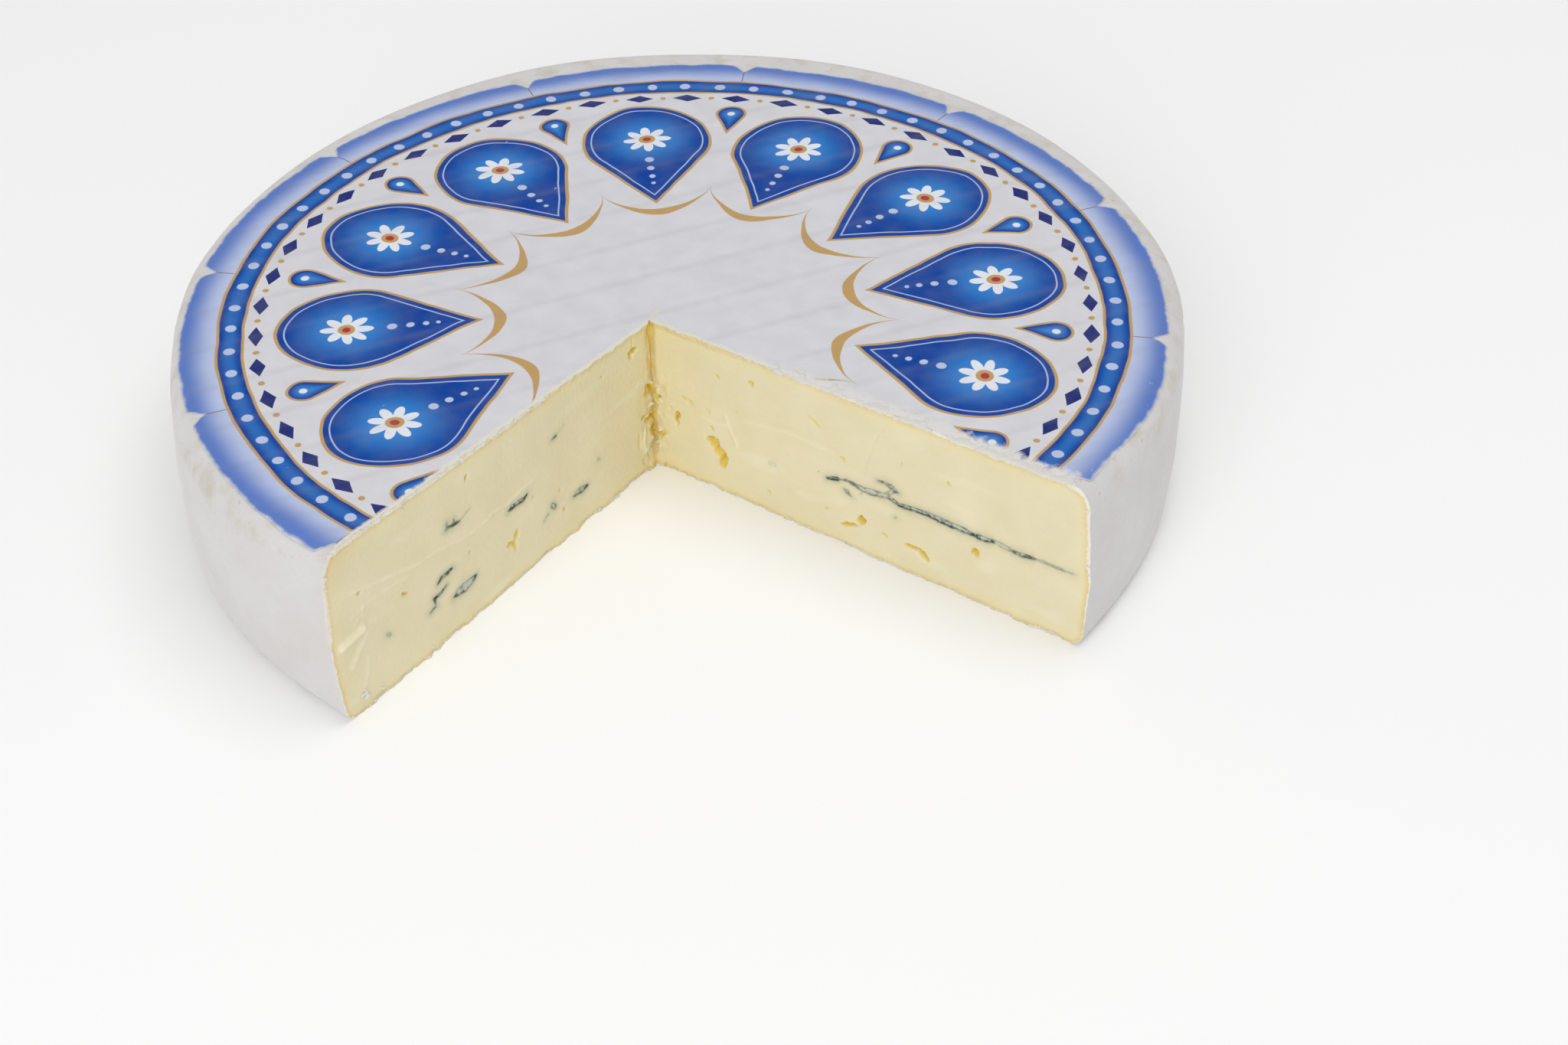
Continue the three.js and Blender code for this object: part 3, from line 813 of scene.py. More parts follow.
def make_paste(name, light_depth):
    """Curd with its rind line, holes painted with glow and shade, and blue mould, into which light goes
    this deep.
    """
    material, shader, add = new_material(name)
    place = add("TexCoord", output=3)
    read = {}
    for name in PASTE_READS:
        read[name] = add("Attribute", output=2, attribute_name=name)
    noises = {}
    for name, size in (("break_up", 0.8), ("clouds", 11), ("veins", 1.6), ("grain", 1.4)):
        noises[name] = add("TexNoise", {"Vector": place, "Scale": 1 / (size * MM), "Detail": 4.0})
    shift = add("MapRange", [noises["break_up"], 0.2, 0.8, -0.5, 0.5])
    cloud_share = add("MapRange", [noises["clouds"], 0.3, 0.7, 0.0, 1.0])
    smear_mask = add("Math", [read["smear"], 0.7], operation="MULTIPLY")
    ripe_break = add("MapRange", [noises["break_up"], 0.3, 0.7, 0.6, 1.3])
    ripe = add("Math", [read["ripe"], ripe_break], operation="MULTIPLY", use_clamp=True)
    # Painted light and shade in the holes and the slit: a deep yellow glow stands in for light bouncing
    # about in them, and a darker ochre where they are deepest stands in for their shade.
    painted_hole_glow = add("MapRange", [read["hollow"], 0.08, 0.7, 0.0, 0.85])
    deep = add("MapRange", [read["hollow"], 0.8, 2.4, 0.0, 0.75])
    rind_edge = add("Math", [read["under_rind"], shift], operation="ADD")
    white = add("MapRange", [rind_edge, 0.25, -0.1, 0.0, 1.0], interpolation_type="SMOOTHSTEP")
    layers = [
        (cloud_share, "#DBD1AD"), (read["lemon"], "#EAD997"),
        (smear_mask, "#E5DFC2"), (ripe, "#D2B268"),
        # painted glow of bounced light in the holes, then painted shade where they are deepest
        (painted_hole_glow, "#E8CE4E"), (deep, "#CDAA24"),
    ]
    layers += mould_layers(add, read, shift, noises["veins"])
    layers.append((white, "#E3DED2"))
    feed(shader, {
        "Base Color": lay_colours(add, "#E0D7B7", layers),
        "Roughness": add("MapRange", [white, 0.0, 1.0, 0.48, 0.85]),
        "Normal": add("Bump", {"Strength": 0.5, "Distance": 0.16 * MM, "Height": noises["grain"]}),
        "Subsurface Weight": 0.4, "Subsurface Radius": (1.0, 0.68, 0.36), "Subsurface Scale": light_depth,
    })
    return material


bloomy_rind = make_bloomy_rind()
ripened_paste = make_paste("ripened_paste", 2.6 * MM)

# %% [markdown]
# ## Cut the wheel
#
# A Boolean modifier takes the closed sheet away from the drum, and its material comes along, so
# the cut faces are paste and the rest is rind. Each point of the result then gets its distances
# to rind, hole and mould. A place on a face is found back from a point by measuring along the
# face's direction.

# %% Cut the wheel
RIND_THICKNESS = 0.95
RIND_AT_BASE = 0.15
RIND_UNDER_PAPER = -0.1
RIND_LOW_ON_WALL = 0.2
# up, then how far the ochre of the slit reaches along the left face
SLIT_OCHRE = [(0, 0.8), (8, 1.6), (16, 3.2), (21, 1.8), (25, 2.6), (29, 1.0), (36, 1.6), (43, 1.8)]


def cut_wheel(wheel, sheet):
    """Takes the missing quarter away from the wheel."""
    wheel.data.materials.append(bloomy_rind)
    sheet.data.materials.append(ripened_paste)
    modifier = wheel.modifiers.new("cut", "BOOLEAN")
    modifier.operation = "DIFFERENCE"
    modifier.solver = "MANIFOLD"
    modifier.material_mode = "TRANSFER"
    modifier.object = sheet
    apply_modifiers(wheel)


def paste_points(wheel):
    """Which points belong to a face of paste."""
    on_paste = np.zeros(len(wheel.data.vertices), dtype=bool)
    paste_slot = wheel.data.materials.find("ripened_paste")
    for polygon in wheel.data.polygons:
        if polygon.material_index == paste_slot:
            on_paste[list(polygon.vertices)] = True
    return on_paste


def rind_thickness(along, up):
    """How thick the white rind shows round a face: least by the inner corner and low down."""
    thickness = np.where(up < 6 * MM, RIND_AT_BASE, RIND_THICKNESS)
    low_wall = smooth_step(106 * MM, 112 * MM, along) * smooth_step(26 * MM, 14 * MM, up)
    thickness = thickness + (RIND_LOW_ON_WALL - thickness) * low_wall
    by_corner = smooth_step(64 * MM, 26 * MM, along)
    under_paper = np.where(up > WHEEL_HEIGHT - 6 * MM, by_corner, 0)
    return thickness + (RIND_UNDER_PAPER - thickness) * under_paper


def lemon_share(along, inside):
    """How much yellower the moist paste is near the rind and round the inner corner."""
    corner = 0.4 * np.exp(-along / (9 * MM))
    return np.clip(0.25 * smooth_step(5.0, 0.0, inside) + corner, 0, 1)


def ripe_share(face, along, up, inside):
    """How ochre the paste is: below the rind, in and below the slit and under the paper."""
    soft = np.where(up > WHEEL_HEIGHT / 2, 0.3, 0.5) * np.exp(-((inside - 0.3) / 0.7) ** 2)
    corner = 0.6 * np.exp(-along / (4 * MM) - up / (3 * MM))
    heights, widths = np.array(SLIT_OCHRE).T
    width = np.interp(up / MM, heights, widths) * MM if face is LEFT else 0.5 * MM
    corner = corner + 0.6 * np.exp(-(along / width) ** 2)
    from_top = (WHEEL_HEIGHT - up) / MM
    line = np.exp(-((from_top - 1.0) / 0.34) ** 2)
    reach = smooth_step(36 * MM, 12 * MM, along) if face is RIGHT else 0.3
    shoulder = 0.3 * smooth_step(98 * MM, 111 * MM, along) * smooth_step(12, 2, from_top)
    return soft + corner + 0.5 * line * reach + (shoulder if face is LEFT else 0)


def store_distances(wheel):
    """Gives each point its distances to rind, hole and mould, in millimetres."""
    points = read_points(wheel)
    on_paste = paste_points(wheel)
    values = {name: np.zeros(len(points)) for name in PASTE_READS}
    values["under_rind"] = under_skin(points) / MM
    values["mould_edge"] += 9
    from_slit = points[:, :2] - SLIT
    into_slit = -from_slit @ direction_of(MIDDLE_ANGLE) / MM
    for face, other in ((LEFT, RIGHT), (RIGHT, LEFT)):
        along = from_slit @ direction_of(face["angle"])
        here = on_paste & (along >= from_slit @ direction_of(other["angle"]))
        along = np.maximum(along[here], 0)
        up = points[here, 2]
        flat, _, _, wobble = face_noise(face, along, up)
        edge, tone = mould_field(face, along, up, wobble)
        values["mould_edge"][here], values["mould_tone"][here] = edge, tone
        # The slit counts as a hollow too, so it gets the holes' painted glow and painted shade.
        hollow = np.maximum(hole_depth(face, along, up, wobble) / MM, 1.1 * (into_slit[here] - 0.7))
        values["hollow"][here] = hollow
        thickness = rind_thickness(along, up) + 0.35 * roughness_at(flat, 4.5 * MM, 10)
        inside = values["under_rind"][here] - thickness
        values["lemon"][here] = lemon_share(along, inside)
        values["ripe"][here] = ripe_share(face, along, up, inside)
        values["under_rind"][here] = inside
        drawn = smooth_step(0.3, 0.75, roughness_at(flat * [0.35, 1, 1], 5 * MM, 11))
        scraped = np.clip(knife_relief(face, along, up, wobble) / (0.35 * MM), 0, 1)
        values["smear"][here] = np.maximum(0.8 * drawn, scraped)
    for name in PASTE_READS:
        store(wheel, name, values[name])


cut_wheel(wheel, knife_sheet)
store_distances(wheel)
choose(wheel)
bpy.ops.object.shade_smooth_by_angle(angle=math.radians(55))
print("cut wheel:", triangles(wheel), "triangles, materials", [m.name for m in wheel.data.materials])

# %% [markdown]
# ## Printed paper
#
# The paper is coated and cool white, and printed in blues and gold. The print is a
# rosette of drop-shaped petals with a daisy in each, in a scalloped gold line and a border of
# pearls. It is all made from two numbers: how far a place is from the wheel's middle, and its
# direction. Wrapping the direction into equal sectors repeats each motif without drawing it
# again. All sizes here are in millimetres. White down from the rind has rubbed off along the
# right cut and dusts the print there, and it creeps a little way over the rim of the paper, so
# each point of the label says how far it is from that rim. A thin smear of paste lies along both
# cuts, with a streak of it at the inner corner.

# %% Measures and shapes of the print
PETAL_TURN = FIRST_NOTCH - math.pi / SECTORS
BIG_PETAL = {"tip": 46.5, "centre": 79.2, "size": 17.4}
SMALL_PETAL = {"tip": 82.0, "centre": 92.6, "size": 4.2}
SCALLOP_RADIUS, SCALLOP_DEPTH = 55.0, 12.5
LOZENGES, LOZENGE_RADIUS = 48, 100.8
PEARLS, PEARL_RADIUS = 72, 107.1
BORDER_INNER, BORDER_OUTER = 104.0, 110.2
SLIT_INNER, SLIT_OUTER = 110.6, 116.6
PAPER_WHITE = "#D5D5DA"
DEEP_BLUE = "#0B4299"
BRIGHT_BLUE = "#3783D0"
PALE_BLUE = "#B9C4E2"
EDGE_BLUE = "#5C7BC2"
NAVY = "#222E72"
GOLD = "#C09C62"
RED = "#B0323A"
DAISY_WHITE = "#E4E6EE"
INMOST = -99.0  # lower than any distance, so that a mask holds everything inside a border


def between(add, value, low, high, soft=0.12):
    """A mask that is 1 where a value lies between two borders."""
    rise = add("MapRange", [value, low - soft, low + soft, 0.0, 1.0])
    fall = add("MapRange", [value, high - soft, high + soft, 1.0, 0.0])
    return add("Math", [rise, fall], operation="MULTIPLY")


def across_sector(add, angle, radius, count, turn):
    """How far a place is from the middle line of the sector that it is in."""
    half = math.pi / count
    moved = add("Math", [angle, turn], operation="SUBTRACT")
    wrapped = add("Math", [moved, half, -half], operation="WRAP")
    signed = add("Math", [wrapped, radius], operation="MULTIPLY")
    return add("Math", [signed], operation="ABSOLUTE")


def spot_distance(add, radius, across, at_radius):
    """The distance from a spot on the middle line of a sector."""
    out = add("Math", [radius, at_radius], operation="SUBTRACT")
    pair = add("CombineXYZ", [out, across, 0.0])
    return add("VectorMath", [pair], 1, operation="LENGTH")


def petal_distance(add, radius, across, tip, centre, size):
    """How far outside a petal a place is: a round end, and straight sides that meet at a tip."""
    lean = size / (centre - tip)
    upright = math.sqrt(1 - lean ** 2)
    from_tip = add("Math", [radius, tip], operation="SUBTRACT")
    to_round = add("Math", [across, lean], operation="MULTIPLY")
    to_round = add("Math", [from_tip, upright, to_round], operation="MULTIPLY_ADD")
    is_round = add("Math", [to_round, upright * (centre - tip)], operation="GREATER_THAN")
    side = add("Math", [across, upright], operation="MULTIPLY")
    side = add("Math", [from_tip, -lean, side], operation="MULTIPLY_ADD")
    end = spot_distance(add, radius, across, centre)
    end = add("Math", [end, size], operation="SUBTRACT")
    return add("Mix", {0: is_round, 2: side, 3: end})


# %% Inks of the print
def petal_inks(add, radius, angle):
    """A large petal in each sector, with a daisy and four pearls, and slim ones between."""
    across = across_sector(add, angle, radius, SECTORS, PETAL_TURN)
    edge = petal_distance(add, radius, across, **BIG_PETAL)
    heart = spot_distance(add, radius, across, BIG_PETAL["centre"])
    light = add("MapRange", [heart, 15.5, 3.0, 0.0, 1.0], interpolation_type="SMOOTHSTEP")
    out = add("Math", [radius, BIG_PETAL["centre"]], operation="SUBTRACT")
    around = add("Math", [across, out], operation="ARCTAN2")
    around = add("Math", [around, 4.0], operation="MULTIPLY")
    ray = add("Math", [around], operation="COSINE")
    ray = add("Math", [ray], operation="ABSOLUTE")
    ray = add("Math", [ray, -3.4, heart], operation="MULTIPLY_ADD")
    inks = [
        (between(add, edge, INMOST, 0.0), GOLD),
        (between(add, edge, INMOST, -0.8), DEEP_BLUE),
        (add("Math", [light, between(add, edge, INMOST, -0.8)], operation="MULTIPLY"),
         BRIGHT_BLUE),
        (between(add, edge, -2.6, -2.25), PALE_BLUE),
        (between(add, ray, INMOST, 3.0), DAISY_WHITE),
        (between(add, heart, -1.0, 2.2), GOLD), (between(add, heart, -1.0, 1.1), RED),
    ]
    for at_radius, size in ((68.6, 1.2), (64.2, 1.0), (60.4, 0.8), (57.2, 0.6)):
        spot = spot_distance(add, radius, across, at_radius)
        inks.append((between(add, spot, -1.0, size), PALE_BLUE))
    across = across_sector(add, angle, radius, SECTORS, FIRST_NOTCH)
    edge = petal_distance(add, radius, across, **SMALL_PETAL)
    heart = spot_distance(add, radius, across, SMALL_PETAL["centre"])
    inks += [
        (between(add, edge, INMOST, 0.0), GOLD), (between(add, edge, INMOST, -0.7), DEEP_BLUE),
        (between(add, edge, INMOST, -2.2, 1.0), BRIGHT_BLUE),
        (between(add, heart, -1.0, 1.0), DAISY_WHITE),
    ]
    return inks


def border_inks(add, radius, angle):
    """The gold scallops inside, then lozenges, pearls, and a rim that fades to blue."""
    turned = add("Math", [angle, PETAL_TURN], operation="SUBTRACT")
    turned = add("Math", [turned, SECTORS / 2], operation="MULTIPLY")
    swing = add("Math", [turned], operation="COSINE")
    swing = add("Math", [swing], operation="ABSOLUTE")
    rounded = add("Math", [swing, 0.55], operation="POWER")
    line = add("Math", [rounded, -SCALLOP_DEPTH, SCALLOP_RADIUS], operation="MULTIPLY_ADD")
    off_line = add("Math", [radius, line], operation="SUBTRACT")
    off_line = add("Math", [off_line], operation="ABSOLUTE")
    swell = add("Math", [swing, -1.25, off_line], operation="MULTIPLY_ADD")
    fade = add("MapRange", [radius, BORDER_OUTER + 0.5, 118.0, 0.0, 1.0], interpolation_type="SMOOTHSTEP")
    inks = [
        (between(add, swell, INMOST, 0.2), GOLD),
        (between(add, radius, BORDER_INNER, 999.0), PALE_BLUE), (fade, EDGE_BLUE),
        (between(add, radius, BORDER_INNER, BORDER_OUTER), DEEP_BLUE),
        (between(add, radius, BORDER_INNER + 2.4, BORDER_OUTER - 2.4, 1.6), BRIGHT_BLUE),
        (between(add, radius, BORDER_INNER - 0.4, BORDER_INNER + 0.3), GOLD),
        (between(add, radius, BORDER_OUTER - 0.3, BORDER_OUTER + 0.4), GOLD),
    ]
    across = across_sector(add, angle, radius, PEARLS, 0.0)
    pearl = spot_distance(add, radius, across, PEARL_RADIUS)
    inks.append((between(add, pearl, -1.0, 1.4), PALE_BLUE))
    across = across_sector(add, angle, radius, LOZENGES, FIRST_NOTCH)
    out = add("Math", [radius, LOZENGE_RADIUS], operation="SUBTRACT")
    out = add("Math", [out], operation="ABSOLUTE")
    lozenge = add("Math", [out, 2.0, across], operation="MULTIPLY_ADD")
    inks.append((between(add, lozenge, -1.0, 3.9), NAVY))
    across = across_sector(add, angle, radius, LOZENGES, FIRST_NOTCH + math.pi / LOZENGES)
    dot = spot_distance(add, radius, across, LOZENGE_RADIUS)
    inks.append((between(add, dot, -1.0, 0.8), GOLD))
    across = across_sector(add, angle, radius, SECTORS, FIRST_NOTCH)
    slit = add(
        "Math",
        [between(add, across, -1.0, 0.14, 0.08), between(add, radius, SLIT_INNER, SLIT_OUTER, 0.6)],
        operation="MULTIPLY",
    )
    inks.append((slit, "#7D6A52"))
    return inks


# %% Smears and down on the print
APEX_SMEAR = (SLIT[0] + 0.9 * MM, SLIT[1] + 3.8 * MM, 0.0)
APEX_SMEAR_TURN = math.radians(-69)


def beside_cut(add, place, face):
    """How far a place is behind a cut, negative, and how far along it."""
    out = face["towards_gap"]
    normal = (-out * math.sin(face["angle"]), out * math.cos(face["angle"]), 0.0)
    direction = (math.cos(face["angle"]), math.sin(face["angle"]), 0.0)
    from_slit = add("VectorMath", [place, (SLIT[0], SLIT[1], 0.0)], operation="SUBTRACT")
    behind = add("VectorMath", [from_slit, normal], 1, operation="DOT_PRODUCT")
    along = add("VectorMath", [from_slit, direction], 1, operation="DOT_PRODUCT")
    return behind, along


def smear_mask(add, place, face, reach, start, full):
    """Where a smear lies on the print behind a cut, thinning out from it."""
    behind, along = beside_cut(add, place, face)
    near = add("MapRange", [behind, -reach * MM, -0.4 * MM, 0.0, 0.9])
    outward = add("MapRange", [along, start * MM, full * MM, 0.0, 1.0])
    amount = add("Math", [near, outward], operation="MULTIPLY")
    tufts = add("TexNoise", {"Vector": place, "Scale": 1 / (2.4 * MM), "Detail": 4.0})
    both = add("Math", [tufts, amount], operation="ADD")
    return add("MapRange", [both, 0.74, 1.1, 0.0, 1.0])


def apex_smear(add, place):
    """A thin streak of paste that the knife's tip left on the paper at the inner corner."""
    turned = add(
        "VectorRotate",
        {"Vector": place, "Center": APEX_SMEAR, "Angle": APEX_SMEAR_TURN}, rotation_type="Z_AXIS",
    )
    moved = add("VectorMath", [turned, APEX_SMEAR], operation="SUBTRACT")
    streak = add("VectorMath", [moved, (0.3 / MM, 1.0 / MM, 0.0)], operation="MULTIPLY")
    away = add("VectorMath", [streak], 1, operation="LENGTH")
    grain = add("TexNoise", {"Vector": place, "Scale": 1 / (1.5 * MM), "Detail": 4.0})
    away = add("Math", [grain, 0.9, away], operation="MULTIPLY_ADD")
    return add("MapRange", [away, 0.85, 1.5, 0.9, 0.0])


# %% Print the paper and cut it
CREEP = 0.7


def make_printed_paper():
    """Coated paper with a generic print of blue petals and pearls."""
    material, shader, add = new_material("coated_label_paper")
    place = add("TexCoord", output=3)
    pulls = add("TexNoise", {"Vector": place, "Scale": 1 / (16 * MM)}, 1)
    pulls = add("VectorMath", [pulls, (0.5, 0.5, 0.5)], operation="SUBTRACT")
    flat = add("VectorMath", [place, (1 / MM, 1 / MM, 0.0)], operation="MULTIPLY")
    flat = add("VectorMath", [pulls, (1.8, 1.8, 0.0), flat], operation="MULTIPLY_ADD")
    radius = add("VectorMath", [flat], 1, operation="LENGTH")
    x = add("SeparateXYZ", [flat], 0)
    y = add("SeparateXYZ", [flat], 1)
    angle = add("Math", [y, x], operation="ARCTAN2")
    inks = border_inks(add, radius, angle) + petal_inks(add, radius, angle)
    # Painted light and shade on the paper: soft clouds of lighter and darker tone stand in for the light
    # on its creases, and darker lines stand in for the shade in the pressed grooves.
    clouds = add("TexNoise", {"Vector": place, "Scale": 1 / (7 * MM), "Detail": 3.0})
    clouds = add("MapRange", [clouds, 0.35, 0.65, 0.0, 0.1])
    away = groove_distance(add, place, 1)
    groove = add("MapRange", [away, 0.0, RACK_WIRE * MM, 1.0, 0.0], interpolation_type="SMOOTHSTEP")
    painted_shade = add("Math", [groove, 0.08, clouds], operation="MULTIPLY_ADD")
    inks.append((painted_shade, "#8E8E96"))
    for face in (LEFT, RIGHT):
        inks.append((smear_mask(add, place, face, 2.4, -1.0, 1.0), "#DEDACB"))
    inks.append((smear_mask(add, place, RIGHT, 6.0, 8.0, 50.0), "#DCDAD7"))
    inks.append((apex_smear(add, place), "#D8D3BC"))
    from_rim = add("Attribute", output=2, attribute_name="from_rim")
    down = add("TexNoise", {"Vector": place, "Scale": 1 / (3.2 * MM), "Detail": 5.0})
    creep = add("Math", [down, -CREEP * 2, from_rim], operation="MULTIPLY_ADD")
    creep = add("MapRange", [creep, -CREEP * 1.25, CREEP * 0.1, 1.0, 0.0])
    inks.append((creep, "#D6D4D2"))
    fibres = add("TexNoise", {"Vector": place, "Scale": 1 / (1.6 * MM), "Detail": 3.0})
    bump = add("Bump", {"Strength": 0.12, "Distance": 0.05 * MM, "Height": fibres})
    groove = add("Math", [1.0, groove], operation="SUBTRACT")
    bump = add("Bump", {"Strength": 0.4, "Distance": 0.25 * MM, "Height": groove, "Normal": bump})
    feed(shader, {
        "Base Color": lay_colours(add, PAPER_WHITE, inks), "Normal": bump,
        "Roughness": 0.36, "Specular IOR Level": 0.04,
    })
    return material


def cut_label(label, sheet):
    """Gives the paper its thickness and cuts it with the knife's sheet."""
    label.data.materials.append(make_printed_paper())
    thicken = label.modifiers.new("paper", "SOLIDIFY")
    thicken.thickness = PAPER_THICKNESS
    thicken.offset = 1
    cut = label.modifiers.new("cut", "BOOLEAN")
    cut.operation = "DIFFERENCE"
    cut.solver = "MANIFOLD"
    cut.object = sheet
    apply_modifiers(label)
    for polygon in label.data.polygons:
        polygon.material_index = 0
    while len(label.data.materials) > 1:
        label.data.materials.pop(index=1)
    x, y, _ = read_points(label).T
    store(label, "from_rim", (label_edge(np.arctan2(y, x)) - np.hypot(x, y)) / MM)
    choose(label)
    bpy.ops.object.shade_smooth_by_angle(angle=math.radians(40))


cut_label(label, knife_sheet)
print("label:", triangles(label), "triangles")

# %% [markdown]
# ## Crumbs
#
# The knife tears the rind rather than slicing it, so white crumbs of down hang along every edge
# of the cut, and more of them lie on the paper beside the right cut. In the inner corner, where
# the paste broke, its crumbs are yellow. One uneven crumb is modelled from a low round ball and
# then copied: each copy is turned, stretched and sized by chance from a fixed seed, and set
# half into what carries it. A voxel remesh then melts crumbs that touch into soft tufts.

# %% Shape and finish of a crumb
FLATNESS = 0.42


def model_crumb():
    """A small uneven lump, about one unit in radius."""
    start_clean()
    bpy.ops.mesh.primitive_ico_sphere_add(subdivisions=2, radius=1)
    crumb = bpy.context.object
    points = read_points(crumb)
    swell = 1 + 0.5 * roughness_at(points, 0.9, 31) + 0.15 * roughness_at(points, 0.45, 32)
    write_points(crumb, points * swell[:, None])
    return crumb


def make_loose_down():
    """Torn white mould: a cottony, matt lump that light passes into."""
    material, shader, add = new_material("loose_down")
    place = add("TexCoord", output=3)
    threads = add("TexNoise", {"Vector": place, "Scale": 1 / (0.5 * MM), "Detail": 3.0})
    patches = add("TexNoise", {"Vector": place, "Scale": 1 / (9 * MM), "Detail": 3.0})
    tan = add("MapRange", [patches, 0.6, 0.72, 0.0, 0.7])
    feed(shader, {
        "Base Color": lay_colours(add, "#D5D2CC", [(tan, "#CBC1AC")]),
        "Normal": add("Bump", {"Strength": 0.35, "Distance": 0.1 * MM, "Height": threads}),
        "Roughness": 0.9, "Specular IOR Level": 0.1, "Sheen Weight": 0.2, "Sheen Roughness": 0.6,
        "Subsurface Weight": 0.3, "Subsurface Radius": (1.0, 0.95, 0.9), "Subsurface Scale": 0.25 * MM,
    })
    return material


def turning_matrices(chance, count):
    """A rotation for each crumb, from three angles by chance."""
    angles = chance.uniform(0, 2 * math.pi, (count, 3))
    turns = np.empty((count, 3, 3))
    for i in range(count):
        turns[i] = Euler(angles[i]).to_matrix()
    return turns


def scatter(crumb, name, places, sizes, chance):
    """A mesh of many crumb copies, one at each place."""
    shape = read_points(crumb)
    corners = np.array([polygon.vertices[:] for polygon in crumb.data.polygons])
    stretch = chance.uniform(0.55, 1.25, (len(places), 1, 3))
    turned = (shape[None] * stretch) @ turning_matrices(chance, len(places)) * [1, 1, FLATNESS]
    points = turned * sizes[:, None, None] + places[:, None, :]
    points[..., 2] = np.maximum(points[..., 2], 0.02 * MM)
    faces = corners[None] + (np.arange(len(places)) * len(shape))[:, None, None]
    mesh = bpy.data.meshes.new(name)
    mesh.from_pydata(points.reshape(-1, 3).tolist(), [], faces.reshape(-1, 3).tolist())
    crumbs = bpy.data.objects.new(name, mesh)
    bpy.context.scene.collection.objects.link(crumbs)
    choose(crumbs)
    bpy.ops.object.shade_smooth()
    return crumbs


# %% Places of the crumbs
FOOT_CRUMBS, RIM_CRUMBS = 90, 46
PAPER_CRUMBS = [
    # face, from, to, count, how far behind the cut, lift, and the gamma shape and scale of the radii
    (RIGHT, 36, 115, 620, lambda chance, count: chance.gamma(1.1, 0.85, count), -0.05, 6.0, 0.105),
    (RIGHT, 26, 50, 30, lambda chance, count: chance.uniform(0.0, 0.5, count), 0.0, 5.0, 0.065),
    (LEFT, 34, 110, 170, lambda chance, count: chance.uniform(0.0, 0.9, count), -0.04, 6.0, 0.055),
]
FLAKE_PARTS = 5
FLAKES = [
    # face, along, up, size
    (LEFT, 108.4, 3.2, 1.6), (LEFT, 103.1, 2.0, 1.2), (LEFT, 85.7, 1.3, 0.9), (LEFT, 86.7, 41.6, 1.1),
]
CRUMB_CLUSTERS = [
    # height, spread, count
    (25.0, 1.2, 12), (19.6, 1.0, 10), (12.0, 2.5, 8), (6.0, 1.6, 14),
]


def on_face(face, along, up, deeper=0.0):
    """Points on the relief of a cut face, or a little behind it."""
    return face_points(face, along, up, stands_out(face, along, up) - deeper)


def rim_along(face, up):
    """How far along a face its outer edge is, at each height."""
    along = np.full_like(up, 118 * MM)
    for _ in range(4):
        points = face_points(face, along, up, np.zeros_like(up))
        depth = under_skin(points)
        wall = wall_radius(np.arctan2(points[:, 1], points[:, 0]), up)
        along = along + np.where(depth < 3 * MM, depth, wall - np.hypot(points[:, 0], points[:, 1]))
    return along


def on_paper(face, along, behind, lift):
    """Points on the label behind a cut."""
    points = face_points(face, along, np.zeros_like(along), -behind)
    points[:, 2] = top_height(points[:, 0], points[:, 1]) + lift
    return points


def clumped(chance, low, high, count):
    """Places along an edge by chance, thick in some stretches and thin in others."""
    tries = chance.uniform(low, high, count * 4)
    strip = np.column_stack([tries, np.full_like(tries, high), np.full_like(tries, low)])
    density = roughness_at(strip, 6 * MM, 33) + chance.uniform(-0.9, 0.9, len(tries))
    return tries[np.argsort(-density)[:count]]


def gather(groups, smallest, largest):
    """Joins groups of places and radii, with the radii in millimetres kept within limits."""
    places, radii = zip(*groups)
    return np.concatenate(places), np.clip(np.concatenate(radii) * MM, smallest * MM, largest * MM)


def rind_crumb_places(chance):
    """Where the white crumbs hang and lie, and their radii."""
    groups = []
    for face, reach in ((LEFT, 110 * MM), (RIGHT, 120 * MM)):
        along = clumped(chance, 3 * MM, reach, FOOT_CRUMBS)
        up = chance.uniform(0.2, 0.7, FOOT_CRUMBS) * MM
        groups.append((on_face(face, along, up, 0.3 * MM), chance.gamma(5.0, 0.08, FOOT_CRUMBS)))
        up = clumped(chance, 2 * MM, 38 * MM, RIM_CRUMBS)
        along = rim_along(face, up) - chance.uniform(0.2, 0.8, RIM_CRUMBS) * MM
        groups.append((on_face(face, along, up, 0.2 * MM), chance.gamma(7.0, 0.05, RIM_CRUMBS)))
    for face, low, high, count, spread, lift, shape, size in PAPER_CRUMBS:
        along = clumped(chance, low * MM, high * MM, count)
        behind = spread(chance, count) * MM
        groups.append((on_paper(face, along, behind, lift * MM), chance.gamma(shape, size, count)))
    for face, along, up, size in FLAKES:
        along = along * MM + chance.normal(0, 0.4 * size, FLAKE_PARTS) * MM
        up = up * MM + chance.normal(0, 0.7 * size, FLAKE_PARTS) * MM
        groups.append((on_face(face, along, up, 0.2 * MM), np.full(FLAKE_PARTS, 0.55 * size)))
    return gather(groups, 0.25, 1.2)


def paste_crumb_places(chance):
    """Where the yellow crumbs cling in the inner corner, and their radii."""
    groups = []
    for face in (LEFT, RIGHT):
        for middle, spread, count in CRUMB_CLUSTERS:
            up = chance.normal(middle, spread, count) * MM
            along = chance.gamma(1.6, 0.6, count) * MM
            groups.append((on_face(face, along, up, 0.25 * MM), chance.gamma(6.0, 0.085, count)))
    return gather(groups, 0.12, 0.9)


# %% Grow the crumbs
TUFT_DETAIL = 0.22 * MM
CRUMB_PASTE = {"under_rind": 9.0, "mould_edge": 9.0, "smear": 0.5, "lemon": 0.3}


def grow_together(crumbs):
    """Melts crumbs that touch into soft uneven tufts."""
    remesh = crumbs.modifiers.new("grow", "REMESH")
    remesh.mode = "VOXEL"
    remesh.voxel_size = TUFT_DETAIL
    remesh.use_smooth_shade = True
    relax = crumbs.modifiers.new("relax", "SMOOTH")
    relax.factor = 0.6
    relax.iterations = 7
    apply_modifiers(crumbs)


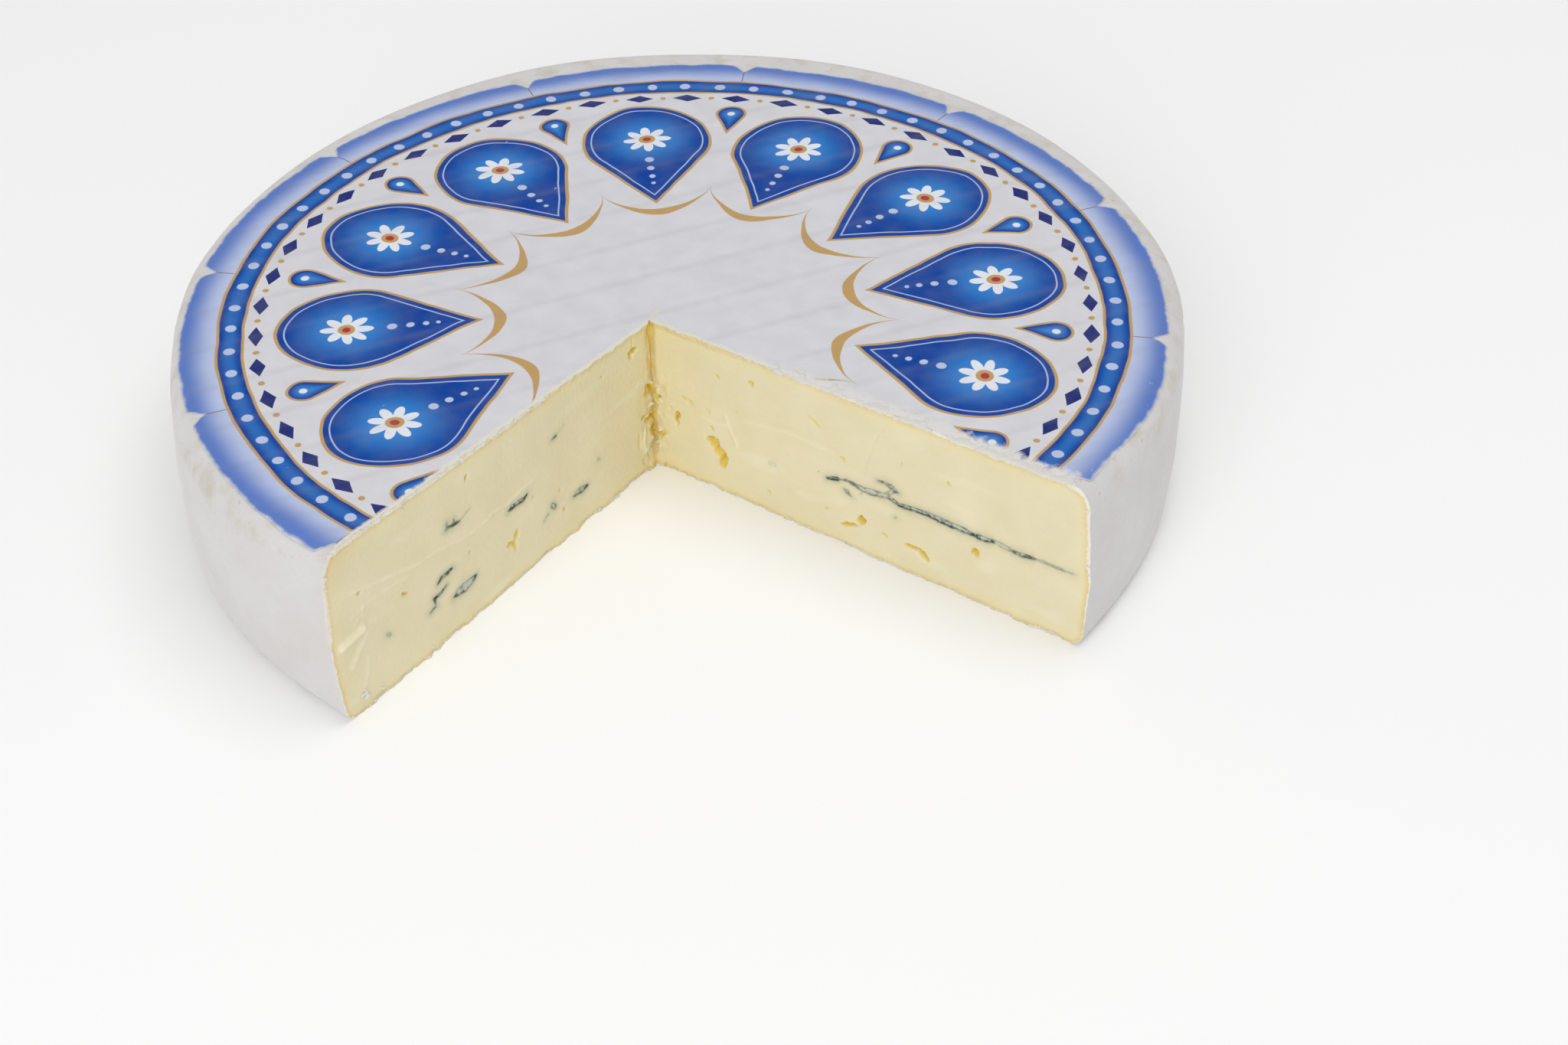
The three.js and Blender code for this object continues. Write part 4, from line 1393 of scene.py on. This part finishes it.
chance = np.random.default_rng(12)
crumb = model_crumb()
rind_crumbs = scatter(crumb, "rind_crumbs", *rind_crumb_places(chance), chance)
grow_together(rind_crumbs)
rind_crumbs.data.materials.append(make_loose_down())
paste_crumbs = scatter(crumb, "paste_crumbs", *paste_crumb_places(chance), chance)
grow_together(paste_crumbs)
paste_crumbs.data.materials.append(make_paste("torn_paste", 0.3 * MM))
for name in PASTE_READS:
    value = CRUMB_PASTE.get(name, 0.0)
    store(paste_crumbs, name, np.full(len(paste_crumbs.data.vertices), value))
bpy.data.objects.remove(crumb)
print("crumbs:", triangles(rind_crumbs), "triangles of rind and", triangles(paste_crumbs), "of paste")

# %% [markdown]
# ## Floor, light and camera
#
# The cheese lies on a plain pale surface in soft studio light. A long lens looks down on it from
# the front.

# %% Floor, light and camera
def make_floor():
    """A wide pale floor."""
    start_clean()
    bpy.ops.mesh.primitive_plane_add(size=6, location=(0, 0, 0))
    floor = bpy.context.object
    floor.name = "floor"
    material, shader, _ = new_material("pale_floor")
    feed(shader, {"Base Color": linear("#FAFAFA"), "Roughness": 0.9})
    floor.data.materials.append(material)


def add_area_light(name, place, target, size, power):
    """A square soft light that looks at a target."""
    light = bpy.data.lights.new(name, "AREA")
    light.energy = power
    light.size = size
    lamp = bpy.data.objects.new(name, light)
    bpy.context.scene.collection.objects.link(lamp)
    lamp.location = place
    lamp.rotation_euler = (Vector(target) - Vector(place)).to_track_quat("-Z", "Y").to_euler()


SKY_STRENGTH = 0.58
LIGHTS_LOOK_AT = (0, -0.02, 0.02)
LENS_MM = 60.17
CAMERA_PLACE = Vector((26.0, -530.7, 399.5)) * MM
CAMERA_DOWN = math.radians(38.69)
CAMERA_ROLL = math.radians(-0.458)


def place_camera():
    """A camera at the photograph's viewing angle."""
    camera = bpy.data.objects.new("camera", bpy.data.cameras.new("camera"))
    camera.data.lens = LENS_MM
    camera.data.sensor_width = 36
    turn = Matrix.Rotation(math.pi / 2 - CAMERA_DOWN, 4, "X") @ Matrix.Rotation(CAMERA_ROLL, 4, "Z")
    camera.matrix_world = Matrix.Translation(CAMERA_PLACE) @ turn
    camera.data.clip_start = 0.01
    bpy.context.scene.collection.objects.link(camera)
    bpy.context.scene.camera = camera


make_floor()
world = bpy.data.worlds.new("soft_studio")
world.use_nodes = True
feed(world.node_tree.nodes["Background"], {"Color": (1, 1, 1, 1), "Strength": SKY_STRENGTH})
bpy.context.scene.world = world
add_area_light("front_light", (-0.35, -1.32, 0.75), LIGHTS_LOOK_AT, 1.1, 10)
add_area_light("top_light", (0.35, 0.2, 1.5), LIGHTS_LOOK_AT, 1.0, 6)
place_camera()
bpy.context.scene.view_settings.view_transform = "Standard"

# %% [markdown]
# ## Hand over
#
# The knife's sheet has done its work and goes. Every piece is hung on the body it moves with and
# keeps its material, and the imported solids are hidden.

# %% Hand over
bpy.data.objects.remove(knife_sheet)
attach(wheel, "root")
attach(label, "root")
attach(rind_crumbs, "root")
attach(paste_crumbs, "root")
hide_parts("cheese")
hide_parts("label")
